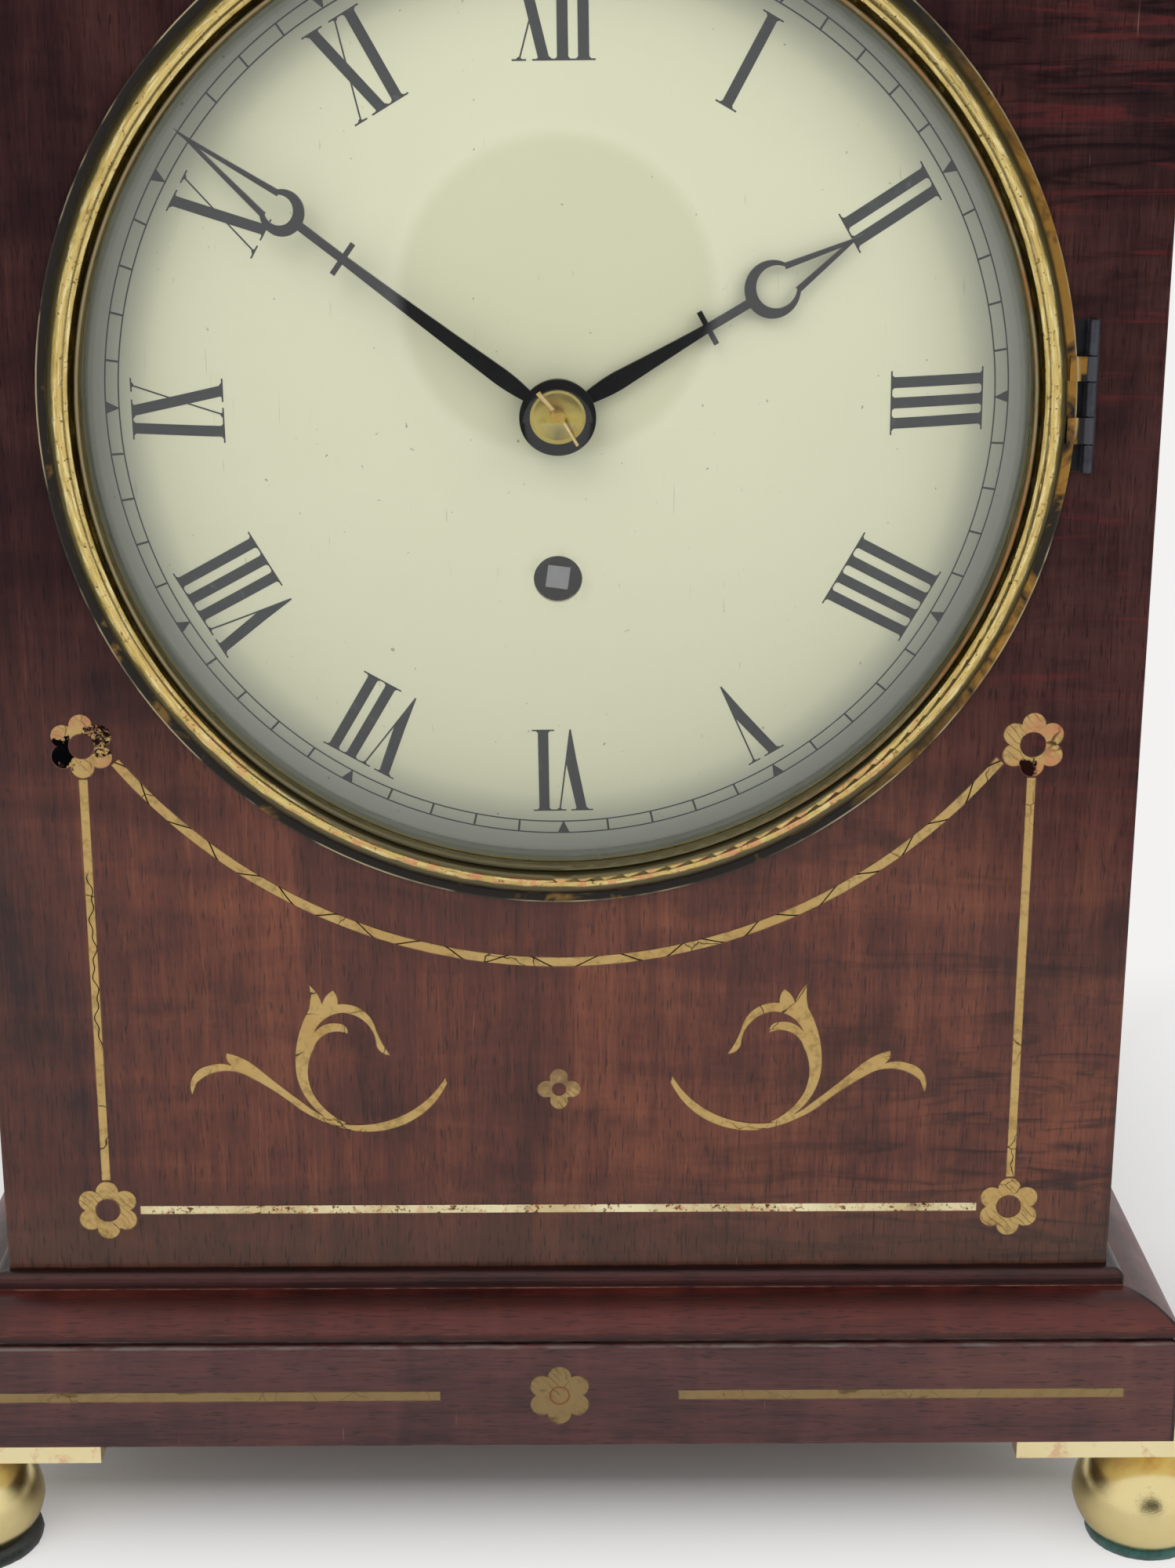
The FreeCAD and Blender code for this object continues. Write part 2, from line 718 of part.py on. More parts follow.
def side_fret():
    """Right fret: a brass plate pierced in rows of fish scales inside a plain border."""
    x0 = HALF_W - FRET_PLATE_T
    plate = arch_prism(0, x0, HALF_W)
    field = arch_prism(FRET_BORDER, x0, HALF_W)
    scale = SCALE_R - SCALE_BAR / 2
    rise = SCALE_R
    mid = CASE_D / 2
    sill = DIAL_Z - FRET_DROP + FRET_BORDER
    holes = []
    rows = int(FRET_H / rise)
    columns = int(FRET_W / 2 / SCALE_R / 2) + 1
    arch_r = FRET_W / 2 - FRET_BORDER
    arch_z = DIAL_Z - FRET_DROP + FRET_H - FRET_W / 2
    for row in range(rows):
        z = sill + SCALE_R + row * rise
        shift = (row % 2) * SCALE_R
        for column in range(-columns, columns + 1):
            y = mid + shift + 2 * column * SCALE_R
            if abs(y - mid) + scale > arch_r:
                continue
            if z > arch_z and math.hypot(y - mid, z - arch_z) + scale > arch_r:
                continue
            path = [
                (y - scale, z),
                (y + scale, z, y, z - scale),
                (y, z + scale * 0.72, y + scale * 0.36, z + scale * 0.22),
                (y - scale, z, y - scale * 0.36, z + scale * 0.22),
            ]
            face = Part.Face(wire_of(path, lambda u, v: V(x0, u, v)))
            holes.append(face.extrude(V(FRET_PLATE_T, 0, 0)))
    field_holes = Part.makeCompound(holes)
    return plate.cut(field_holes.common(field))


def fret_cloth():
    x1 = HALF_W - FRET_PLATE_T
    return arch_prism(0, x1 - CLOTH_T, x1)


def back_frame():
    frame = box(-HALF_W, HALF_W, INNER_BACK_Y, BACK_Y, CASE_Z, TOP_Z)
    x = HALF_W - BACK_RAIL_SIDE
    opening = box(-x, x, INNER_BACK_Y, BACK_Y, CASE_Z + BACK_RAIL_END, TOP_Z - BACK_RAIL_END)
    return cut_all(frame, [opening] + [back_leaf(z, -1) for z in back_hinge_heights()])


def cornice():
    z1 = TOP_Z + CORNICE_H
    fillet = 2.0
    path = [
        (-CORNICE_FRAME, TOP_Z),
        (fillet, TOP_Z),
        (fillet, TOP_Z + fillet),
        (
            CORNICE_PROUD - fillet,
            z1 - 2 * fillet,
            fillet + (CORNICE_PROUD - 2 * fillet) * 0.28,
            TOP_Z + fillet + (CORNICE_H - 3 * fillet) * 0.72,
        ),
        (CORNICE_PROUD, z1 - 2 * fillet),
        (CORNICE_PROUD, z1),
        (-CORNICE_FRAME, z1),
    ]
    runs = mitred_runs(path, HALF_W, 0, -CORNICE_FRAME, CORNICE_PROUD)
    inner = HALF_W - CORNICE_FRAME
    runs.append(box(-inner, inner, BACK_Y - CORNICE_FRAME, BACK_Y, TOP_Z, z1))
    return runs


def roof():
    """A flat board, a hipped block and a cap that carries the finial."""
    z0 = TOP_Z + CORNICE_H
    z1 = z0 + ROOF_BOARD_H
    z2 = z1 + ROOF_H
    inset = ROOF_BOARD_INSET
    mid = CASE_D / 2
    board = box(-HALF_W + inset, HALF_W - inset, inset, BACK_Y - inset, z0, z1)

    def rectangle(half_x, half_y, z):
        corners = [(-half_x, -half_y), (half_x, -half_y), (half_x, half_y), (-half_x, half_y)]
        points = [V(x, mid + y, z) for x, y in corners]
        return Part.makePolygon(points + [points[0]])

    low = rectangle(HALF_W - ROOF_INSET, mid - ROOF_INSET, z1)
    high = rectangle(ROOF_CAP_W / 2, ROOF_CAP_D / 2, z2)
    hip = Part.makeLoft([low, high], True, True)
    half_x = ROOF_CAP_W / 2
    half_y = ROOF_CAP_D / 2
    cap = box(-half_x, half_x, mid - half_y, mid + half_y, z2, z2 + ROOF_CAP_H)
    return [board, hip, cap]


def finial():
    z0 = TOP_Z + CORNICE_H + ROOF_BOARD_H + ROOF_H + ROOF_CAP_H
    neck_z = z0 + FINIAL_BASE_H
    ball_z = neck_z + FINIAL_NECK_R + math.sqrt(FINIAL_BALL_R ** 2 - FINIAL_NECK_R ** 2)
    dip = math.sqrt(FINIAL_BALL_R ** 2 - FINIAL_NECK_R ** 2)
    tip_r = FINIAL_NECK_R * 0.7
    tip_dip = math.sqrt(FINIAL_BALL_R ** 2 - tip_r ** 2)
    point_r = tip_r * 0.45
    point_z = ball_z + tip_dip + FINIAL_TIP_H - point_r
    path = [
        (0, z0),
        (FINIAL_BASE_R, z0),
        (FINIAL_BASE_R, z0 + FINIAL_BASE_H * 0.35),
        (FINIAL_NECK_R, neck_z, FINIAL_BASE_R * 0.55, z0 + FINIAL_BASE_H * 0.62),
        (FINIAL_NECK_R, ball_z - dip),
        (tip_r, ball_z + tip_dip, FINIAL_BALL_R, ball_z),
        (point_r, point_z),
        (0, point_z + point_r, point_r * math.sqrt(0.5), point_z + point_r * math.sqrt(0.5)),
    ]
    return turned_z(path, 0, CASE_D / 2)


# ---- ring handles ----
def handle_z():
    return DIAL_Z + HANDLE_RISE


def ring_x():
    """Plane of the right ring, clear of the boss's face."""
    return HALF_W + BOSS_H + RING_WIRE_R + DOOR_GAP


def handle_boss():
    """A turned boss with an eye through which the ring hangs."""
    mid = CASE_D / 2
    z = handle_z()
    step = BOSS_H / 4
    path = [
        (0, 0),
        (BOSS_R, 0),
        (BOSS_R, step),
        (BOSS_R * 0.78, 2 * step, BOSS_R * 0.93, 1.8 * step),
        (BOSS_R * 0.7, 2 * step),
        (BOSS_R * 0.4, BOSS_H, BOSS_R * 0.6, 3.6 * step),
        (0, BOSS_H),
    ]
    face = Part.Face(wire_of(path, lambda u, v: V(HALF_W + v, mid, z + u)))
    boss = face.revolve(V(HALF_W, mid, z), V(1, 0, 0), TURN)
    eye_r = RING_WIRE_R + LUG_PLAY
    lug_r = eye_r + LUG_WALL
    lug = Part.makeCylinder(lug_r, LUG_W, V(ring_x(), mid - LUG_W / 2, z), V(0, 1, 0))
    stalk = box(HALF_W + BOSS_H / 2, ring_x(), mid - LUG_W / 2, mid + LUG_W / 2, z - lug_r, z + lug_r)
    eye = Part.makeCylinder(eye_r, 2 * LUG_W, V(ring_x(), mid - LUG_W, z), V(0, 1, 0))
    return join([boss, stalk, lug]).cut(eye)


def ring_handle():
    """Right ring: its top passes through the boss's eye, so it hangs and swings out."""
    return Part.makeTorus(RING_R, RING_WIRE_R, V(ring_x(), CASE_D / 2, handle_z() - RING_R), V(1, 0, 0))


# ---- bezel door ----
def knuckle_spans():
    """Heights of the five hinge knuckles, from the top: three on the case and two on the bezel."""
    spans = []
    z = DIAL_Z + HINGE_TOP
    for length in HINGE_KNUCKLES:
        spans.append((z - length, z))
        z -= length
    return spans


def hinge_leaf_recess():
    spans = knuckle_spans()
    return box(HINGE_LEAF_X0, HINGE_LEAF_X1, 0, HINGE_LEAF_T, spans[-1][0], spans[0][1])


def bezel_hinge_leaf():
    """Steel leaf let into the case, with its knuckles and the pin."""
    spans = knuckle_spans()
    parts = [hinge_leaf_recess()]
    for low, high in spans[0::2]:
        parts.append(rod_z(HINGE_KNUCKLE_R, low, high, HINGE_X, -HINGE_Y))
        web = HINGE_KNUCKLE_R * 0.7
        parts.append(box(HINGE_X - web, HINGE_X + web, -HINGE_Y, 0, low, high))
    parts.append(rod_z(HINGE_PIN_R, spans[-1][0], spans[0][1], HINGE_X, -HINGE_Y))
    return join(parts)


def bezel():
    """Cast rim: a thin flange, a half-round roll, a groove and a bead that holds the glass."""
    back = -DOOR_GAP
    face = back - FLANGE_T
    roll_front = face - ROLL_R
    corner = ROLL_R * math.sqrt(0.5)
    bead_at = GLASS_SIGHT_R + BEAD_R
    seat = -GLASS_SEAT_Y
    path = [
        (BEZEL_R, back),
        (BEZEL_R, face),
        (ROLL_AT_R + ROLL_R, face),
        (ROLL_AT_R, roll_front, ROLL_AT_R + corner, face - corner),
        (ROLL_AT_R - ROLL_R * 0.6, face - ROLL_R * 0.62, ROLL_AT_R - ROLL_R * 0.4, roll_front + 0.35),
        (bead_at, seat - 2 * BEAD_R),
        (GLASS_SIGHT_R, seat - BEAD_R, GLASS_SIGHT_R + BEAD_R * 0.29, seat - BEAD_R * 1.71),
        (GLASS_SIGHT_R, seat),
        (GLASS_R, seat),
        (GLASS_R, back),
    ]
    rim = turned_y(path, CENTRE)
    parts = [rim]
    bores = []
    web = HINGE_KNUCKLE_R * 0.8
    for low, high in knuckle_spans()[1::2]:
        z0 = low + HINGE_GAP
        z1 = high - HINGE_GAP
        parts.append(rod_z(HINGE_KNUCKLE_R, z0, z1, HINGE_X, -HINGE_Y))
        parts.append(box(ROLL_AT_R + ROLL_R, HINGE_X, -HINGE_Y - web, -HINGE_Y + web, z0, z1))
        bores.append(rod_z(HINGE_PIN_R + RUNNING, z0, z1, HINGE_X, -HINGE_Y))
    return cut_all(join(parts), bores)


def dome(radius, sphere_r, apex_y, thickness):
    """A round piece cut from a spherical shell that bulges forward."""
    inner_r = sphere_r - thickness
    centre_y = apex_y + sphere_r
    edge = centre_y - math.sqrt(sphere_r ** 2 - radius ** 2)
    back_edge = centre_y - math.sqrt(inner_r ** 2 - radius ** 2)
    half = radius / 2
    mid = centre_y - math.sqrt(sphere_r ** 2 - half ** 2)
    back_mid = centre_y - math.sqrt(inner_r ** 2 - half ** 2)
    path = [
        (0, apex_y),
        (radius, edge, half, mid),
        (radius, back_edge),
        (0, apex_y + thickness, half, back_mid),
    ]
    return turned_y(path, CENTRE)


def bezel_glass():
    return dome(GLASS_R, GLASS_SPHERE_R, GLASS_FRONT_Y, GLASS_T)


def glass_ring():
    """Spring ring that keeps the glass against the bead."""
    centre_y = GLASS_FRONT_Y + GLASS_SPHERE_R
    glass_back = centre_y - math.sqrt((GLASS_SPHERE_R - GLASS_T) ** 2 - GLASS_R ** 2)
    return tube_y(GLASS_R, GLASS_R - GLASS_RING_T, glass_back, -DOOR_GAP, CENTRE)


def sight_ring():
    inner = DIAL_OPENING_R - SIGHT_RING_T
    return tube_y(DIAL_OPENING_R, inner, SIGHT_RING_Y0, BOARD_T, CENTRE)


# ---- dial and hands ----
def dial():
    plate = dome(DIAL_R, DIAL_SPHERE_R, DIAL_APEX_Y, DIAL_T)
    reach = DIAL_RING_Y
    return cut_all(
        plate,
        [
            rod_y(DIAL_HOLE_R, DIAL_APEX_Y - DIAL_T, reach, CENTRE),
            rod_y(WINDING_HOLE_R, DIAL_APEX_Y - DIAL_T, reach, WINDING),
        ],
    )


def dial_feet():
    """Four posts from the dial's hollow back to the movement's front plate."""
    ball = Part.makeSphere(DIAL_SPHERE_R - DIAL_T, V(0, DIAL_APEX_Y + DIAL_SPHERE_R, DIAL_Z))
    feet = []
    for x in (-DIAL_FOOT_X, DIAL_FOOT_X):
        for z in (DIAL_Z - DIAL_FOOT_Z, DIAL_Z + DIAL_FOOT_Z):
            post = rod_y(DIAL_FOOT_R, DIAL_APEX_Y, FRONT_PLATE_Y, (x, z))
            feet.append(post.common(ball))
    return feet


def moon_hand(length, boss_r, eye_at, eye_r, hole_r, shift, mouth, join_at, bar_at, blade, y0):
    """A hand that points up: boss, leaf blade, cross bar, open moon and two tines that meet.

    The outline is cut through a domed sheet, so that the hand follows the dial.
    """
    z = DIAL_Z
    y1 = y0 + HAND_T
    deep = DIAL_RING_Y
    neck = boss_r * 0.9
    wide = boss_r + BLADE_WIDE_AT
    narrow = blade * 0.62
    swell = narrow + (blade - narrow) * 0.75
    swell_z = z + (neck + wide) / 2
    slim = STEM_HALF + (blade - STEM_HALF) * 0.46
    slim_z = z + (wide + bar_at) / 2
    tip_half = 0.25
    eye_low = z + eye_at - eye_r * 0.9
    blade_path = [
        (-narrow, z + neck),
        (-blade, z + wide, -swell, swell_z),
        (-STEM_HALF, z + bar_at, -slim, slim_z),
        (-STEM_HALF, eye_low),
        (STEM_HALF, eye_low),
        (STEM_HALF, z + bar_at),
        (blade, z + wide, slim, slim_z),
        (narrow, z + neck, swell, swell_z),
    ]
    hub = rod_y(boss_r, y0, y1, (0, z))
    bar = box(-BAR_HALF, BAR_HALF, y0, deep, z + bar_at - BAR_W / 2, z + bar_at + BAR_W / 2)
    moon = rod_y(eye_r, y0, deep, (0, z + eye_at))
    hole_z = z + eye_at + shift
    moon = moon.cut(rod_y(hole_r, y0, deep, (0, hole_z)))
    mouth_z = hole_z + math.sqrt(hole_r ** 2 - mouth ** 2)
    moon = moon.cut(box(-mouth, mouth, y0, deep, hole_z, z + length))
    tines = []
    for side in (-1, 1):
        path = [
            (side * mouth, mouth_z - TINE_W * 0.4),
            (side * (mouth + TINE_W), mouth_z),
            (side * tip_half, z + join_at + (length - join_at) * 0.55),
            (0, z + length),
            (0, z + join_at),
        ]
        tines.append(front_prism(path, y0, deep))
    sheet = dome(length + boss_r, HAND_SPHERE_R, y0, HAND_T)
    outline = join([front_prism(blade_path, y0, deep), bar, moon] + tines)
    return join([hub, outline.common(sheet)])


def minute_hand():
    hand = moon_hand(
        MINUTE_LEN, MINUTE_BOSS_R, MINUTE_EYE_AT, MINUTE_EYE_R, MINUTE_EYE_HOLE_R,
        MINUTE_EYE_SHIFT, MINUTE_EYE_MOUTH, MINUTE_TINE_JOIN, MINUTE_BAR_AT,
        MINUTE_BLADE_HALF, MINUTE_FACE_Y,
    )
    hand = hand.cut(rod_y(CANNON_R, MINUTE_FACE_Y, MINUTE_FACE_Y + HAND_T, CENTRE))
    return spun(hand, CENTRE, MINUTE_DEG)


def hour_hand():
    hand = moon_hand(
        HOUR_LEN, HOUR_BOSS_R, HOUR_EYE_AT, HOUR_EYE_R, HOUR_EYE_HOLE_R,
        HOUR_EYE_SHIFT, HOUR_EYE_MOUTH, HOUR_TINE_JOIN, HOUR_BAR_AT,
        HOUR_BLADE_HALF, HOUR_FACE_Y,
    )
    hand = hand.cut(rod_y(HOUR_PIPE_R, HOUR_FACE_Y, HOUR_FACE_Y + HAND_T, CENTRE))
    return spun(hand, CENTRE, HOUR_DEG)


def hand_collet():
    """Dished brass washer in front of the minute hand."""
    front = MINUTE_FACE_Y - COLLET_H
    rim = COLLET_R - COLLET_RIM
    middle = (rim + CENTRE_ARBOR_R) / 2
    path = [
        (CENTRE_ARBOR_R, MINUTE_FACE_Y),
        (COLLET_R, MINUTE_FACE_Y),
        (COLLET_R, front),
        (rim, front),
        (CENTRE_ARBOR_R, front + COLLET_DISH, middle, front + COLLET_DISH * 0.72),
    ]
    return turned_y(path, CENTRE)


def hand_pin_y():
    return MINUTE_FACE_Y - COLLET_H - HAND_PIN_R


def hand_pin():
    """Taper pin through the centre arbor, bearing on the collet."""
    angle = math.radians(HAND_PIN_DEG)
    way = V(math.cos(angle), 0, math.sin(angle))
    start = V(0, hand_pin_y(), DIAL_Z) - way * (HAND_PIN_LEN * 0.5)
    return Part.makeCone(HAND_PIN_R, HAND_PIN_R * 0.6, HAND_PIN_LEN, start, way)


# ---- wheels ----
def gear_teeth(teeth, module, leaf, y0, y1, at, phase):
    """Toothed disc. A leaf is a pinion's slim tooth, and the phase is a tooth's bearing."""
    pitch_r = module * teeth / 2
    pitch = math.pi * module
    if leaf:
        form = [(-1.5, 0.155 * (1 - 3.0 / teeth)), (0, 0.155), (0.4, 0.10), (0.6, 0.04)]
    else:
        form = [(-1.45, 0.225 * (1 - 2.9 / teeth)), (0, 0.225), (0.55, 0.165), (1.0, 0.09), (1.2, 0.04)]
    points = []
    for i in range(teeth):
        centre = phase + i * 2 * math.pi / teeth
        rising = [(pitch_r + rise * module, centre - half * pitch / (pitch_r + rise * module))
                  for rise, half in form]
        falling = [(pitch_r + rise * module, centre + half * pitch / (pitch_r + rise * module))
                   for rise, half in reversed(form)]
        for radius, angle in rising + falling:
            points.append(V(at[0] + radius * math.cos(angle), y0, at[1] + radius * math.sin(angle)))
    face = Part.Face(Part.makePolygon(points + [points[0]]))
    return face.extrude(V(0, y1 - y0, 0))


def crossings(inner, outer, arms, arm_w, y0, y1, at):
    """The openings between a wheel's arms."""
    ring = tube_y(outer, inner, y0, y1, at)
    spokes = []
    for i in range(arms):
        spoke = box(at[0] - arm_w / 2, at[0] + arm_w / 2, y0, y1, at[1], at[1] + outer)
        spokes.append(spun(spoke, at, i * TURN / arms))
    return cut_all(ring, spokes)


def wheel(teeth, module, y0, thickness, at, phase, hub_r):
    """Brass wheel with a crossed-out middle."""
    y1 = y0 + thickness
    disc = gear_teeth(teeth, module, False, y0, y1, at, phase)
    rim = module * (teeth / 2 - 1.45) - 2.6 * module - 0.6
    return disc.cut(crossings(hub_r + 2.0, rim, 5, 2.0, y0, y1, at))


def bearing(start, end):
    return math.atan2(end[1] - start[1], end[0] - start[0])


def pinion_phase(wheel_at, pinion_at, leaves):
    """Bearing of a leaf when a gap of the pinion faces the wheel's tooth."""
    return bearing(wheel_at, pinion_at) + math.pi + math.pi / leaves


def arbor(at, y0, y1, radius):
    """Arbor between the plates, with a pivot that runs in each of them."""
    return [
        rod_y(radius, y0 + END_SHAKE, y1 - END_SHAKE, at),
        rod_y(PIVOT_R, y0 - PLATE_T, y1 + PLATE_T, at),
    ]


def centre_wheel():
    third_way = bearing(CENTRE, THIRD)
    pinion_y1 = CENTRE_PINION_Y + PINION_LEN
    parts = [
        wheel(CENTRE_TEETH, CENTRE_MODULE, CENTRE_WHEEL_Y, WHEEL_T, CENTRE, third_way, ARBOR_R * 2),
        gear_teeth(
            CENTRE_PINION, INTER_MODULE, True, CENTRE_PINION_Y, pinion_y1, CENTRE,
            pinion_phase(INTER, CENTRE, CENTRE_PINION),
        ),
        rod_y(CENTRE_ARBOR_R, hand_pin_y() - 2 * HAND_PIN_R, BACK_PLATE_Y - END_SHAKE, CENTRE),
        rod_y(PIVOT_R, BACK_PLATE_Y - 2 * END_SHAKE, PLATE_OUT_Y, CENTRE),
    ]
    return join(parts).cut(hand_pin())


def cannon_pinion():
    wheel_y1 = CANNON_WHEEL_Y + CANNON_WHEEL_T
    parts = [
        gear_teeth(
            CANNON_TEETH, CANNON_MODULE, True, CANNON_WHEEL_Y, wheel_y1, CENTRE,
            pinion_phase(MINUTE, CENTRE, CANNON_TEETH),
        ),
        rod_y(CANNON_R, MINUTE_FACE_Y, wheel_y1 + END_SHAKE, CENTRE),
    ]
    bore = rod_y(CENTRE_ARBOR_R, MINUTE_FACE_Y - HAND_T, FRONT_PLATE_Y, CENTRE)
    return join(parts).cut(bore)


def hour_wheel():
    wheel_y1 = HOUR_WHEEL_Y + WHEEL_T
    parts = [
        wheel(HOUR_TEETH, HOUR_MODULE, HOUR_WHEEL_Y, WHEEL_T, CENTRE, bearing(CENTRE, MINUTE), HOUR_PIPE_R),
        rod_y(HOUR_PIPE_R, HOUR_FACE_Y - END_SHAKE, CANNON_WHEEL_Y - END_SHAKE, CENTRE),
    ]
    bore = rod_y(CANNON_R + RUNNING, HOUR_FACE_Y - HAND_T, wheel_y1 + PINION_LEN, CENTRE)
    return join(parts).cut(bore)


def minute_stud_r():
    return ARBOR_R + END_SHAKE / 2


def minute_wheel():
    """Wheel and pinion in one piece, turning on a stud of the front plate."""
    y0 = CANNON_WHEEL_Y + (CANNON_WHEEL_T - WHEEL_T) / 2
    pinion_y0 = HOUR_WHEEL_Y - END_SHAKE * 2
    parts = [
        wheel(MINUTE_TEETH, CANNON_MODULE, y0, WHEEL_T, MINUTE, bearing(MINUTE, CENTRE), ARBOR_R * 2.2),
        gear_teeth(
            MINUTE_PINION, HOUR_MODULE, True, pinion_y0, y0, MINUTE,
            pinion_phase(CENTRE, MINUTE, MINUTE_PINION),
        ),
    ]
    bore = rod_y(minute_stud_r() + RUNNING, pinion_y0, y0 + WHEEL_T, MINUTE)
    return join(parts).cut(bore)


def intermediate_wheel():
    parts = [
        wheel(INTER_TEETH, INTER_MODULE, INTER_WHEEL_Y, WHEEL_T, INTER, bearing(INTER, CENTRE), ARBOR_R * 2),
        gear_teeth(
            INTER_PINION, BARREL_MODULE, True, INTER_PINION_Y, INTER_PINION_Y + PINION_LEN, INTER,
            pinion_phase(WINDING, INTER, INTER_PINION),
        ),
    ]
    return join(parts + arbor(INTER, PLATE_IN_Y, BACK_PLATE_Y, ARBOR_R))


def third_wheel():
    parts = [
        wheel(THIRD_TEETH, THIRD_MODULE, THIRD_WHEEL_Y, WHEEL_T, THIRD, bearing(THIRD, ESCAPE), ARBOR_R * 2),
        gear_teeth(
            THIRD_PINION, CENTRE_MODULE, True, THIRD_PINION_Y, THIRD_PINION_Y + PINION_LEN, THIRD,
            pinion_phase(CENTRE, THIRD, THIRD_PINION),
        ),
    ]
    return join(parts + arbor(THIRD, PLATE_IN_Y, BACK_PLATE_Y, ARBOR_R))


def escape_wheel():
    y1 = ESCAPE_WHEEL_Y + WHEEL_T
    root = ESCAPE_R - ESCAPE_TOOTH
    points = []
    step = 2 * math.pi / ESCAPE_TEETH
    for i in range(ESCAPE_TEETH):
        angle = i * step
        for radius, share in ((root, 0.0), (ESCAPE_R, 0.22), (ESCAPE_R, 0.27), (root, 0.5)):
            a = angle + share * step
            points.append(
                V(ESCAPE[0] + radius * math.cos(a), ESCAPE_WHEEL_Y, ESCAPE[1] + radius * math.sin(a))
            )
    disc = Part.Face(Part.makePolygon(points + [points[0]])).extrude(V(0, WHEEL_T, 0))
    hub = ARBOR_R * 2
    openings = crossings(hub + 2.0, root - 1.8, 5, 1.8, ESCAPE_WHEEL_Y, y1, ESCAPE)
    pinion = gear_teeth(
        ESCAPE_PINION, THIRD_MODULE, True, ESCAPE_PINION_Y, ESCAPE_PINION_Y + PINION_LEN, ESCAPE,
        pinion_phase(THIRD, ESCAPE, ESCAPE_PINION),
    )
    thin = ARBOR_R * 0.8
    return join([disc.cut(openings), pinion] + arbor(ESCAPE, PLATE_IN_Y, BACK_PLATE_Y, thin))


def barrel():
    """Great wheel and drum that hold the mainspring, turning on the winding arbor."""
    y1 = BARREL_Y + BARREL_TOOTH_T
    end = BARREL_Y + BARREL_LEN
    disc = gear_teeth(
        BARREL_TEETH, BARREL_MODULE, False, BARREL_Y, y1, WINDING, bearing(WINDING, INTER)
    )
    drum = tube_y(BARREL_R, BARREL_R - BARREL_WALL, y1, end - BARREL_WALL, WINDING)
    lid = rod_y(BARREL_R, end - BARREL_WALL, end, WINDING)
    bore = rod_y(BARREL_ARBOR_R + RUNNING, BARREL_Y, end, WINDING)
    return join([disc, drum, lid]).cut(bore)


def mainspring():
    """A steel ribbon wound against the drum's wall, drawn as half turns that grow outwards."""
    y0 = BARREL_Y + BARREL_TOOTH_T + END_SHAKE
    y1 = BARREL_Y + BARREL_LEN - BARREL_WALL - END_SHAKE
    outer = BARREL_R - BARREL_WALL - END_SHAKE
    halves = 2 * SPRING_TURNS
    step = SPRING_PITCH / 2
    shift = step / 2
    x, z = WINDING

    def half_turn(index, radius):
        """Edge over or under the arbor, on a centre that steps from side to side."""
        side = 1 if index % 2 == 0 else -1
        centre = x + side * shift / 2
        start = V(centre + side * radius, y0, z)
        top = V(centre, y0, z + side * radius)
        end = V(centre - side * radius, y0, z)
        return Part.Arc(start, top, end).toShape()

    outer_edges = [half_turn(i, outer - shift / 2 - i * shift) for i in range(halves)]
    inner_edges = [half_turn(i, outer - shift / 2 - SPRING_T - i * shift) for i in range(halves)]
    first = Part.LineSegment(outer_edges[0].Vertexes[0].Point, inner_edges[0].Vertexes[0].Point)
    last = Part.LineSegment(outer_edges[-1].Vertexes[-1].Point, inner_edges[-1].Vertexes[-1].Point)
    edges = [first.toShape()] + outer_edges + [last.toShape()] + inner_edges
    ribbon = Part.Face(Part.Wire(Part.__sortEdges__(edges)))
    return ribbon.extrude(V(0, y1 - y0, 0))


def square_prism(side, y0, y1, at, degrees):
    half = side / 2
    bar = box(at[0] - half, at[0] + half, y0, y1, at[1] - half, at[1] + half)
    return spun(bar, at, degrees)


def ratchet_y():
    return FRONT_PLATE_Y - END_SHAKE - RATCHET_T


def barrel_arbor():
    """Winding arbor: its square reaches the dial's hole and carries the ratchet."""
    return join([
        rod_y(BARREL_ARBOR_R, PLATE_IN_Y + END_SHAKE, BACK_PLATE_Y - END_SHAKE, WINDING),
        rod_y(WINDING_PIVOT_R, ratchet_y() + RATCHET_T, PLATE_IN_Y + END_SHAKE, WINDING),
        rod_y(PIVOT_R * 3, BACK_PLATE_Y - END_SHAKE, PLATE_OUT_Y, WINDING),
        square_prism(WINDING_SQUARE, WINDING_END_Y, ratchet_y() + RATCHET_T, WINDING, WINDING_TURN_DEG),
    ])


def ratchet_wheel():
    y0 = ratchet_y()
    y1 = y0 + RATCHET_T
    step = 2 * math.pi / RATCHET_TEETH
    points = []
    for i in range(RATCHET_TEETH):
        for radius, share in ((RATCHET_R, 0.0), (RATCHET_R - RATCHET_TOOTH, 0.12)):
            a = (i + share) * step
            points.append(V(WINDING[0] + radius * math.cos(a), y0, WINDING[1] + radius * math.sin(a)))
    disc = Part.Face(Part.makePolygon(points + [points[0]])).extrude(V(0, RATCHET_T, 0))
    return disc.cut(square_prism(WINDING_SQUARE, y0, y1, WINDING, WINDING_TURN_DEG))


def click_pivot():
    reach = RATCHET_R + 5.5
    return (WINDING[0] - reach, WINDING[1] + RATCHET_R * 0.5)


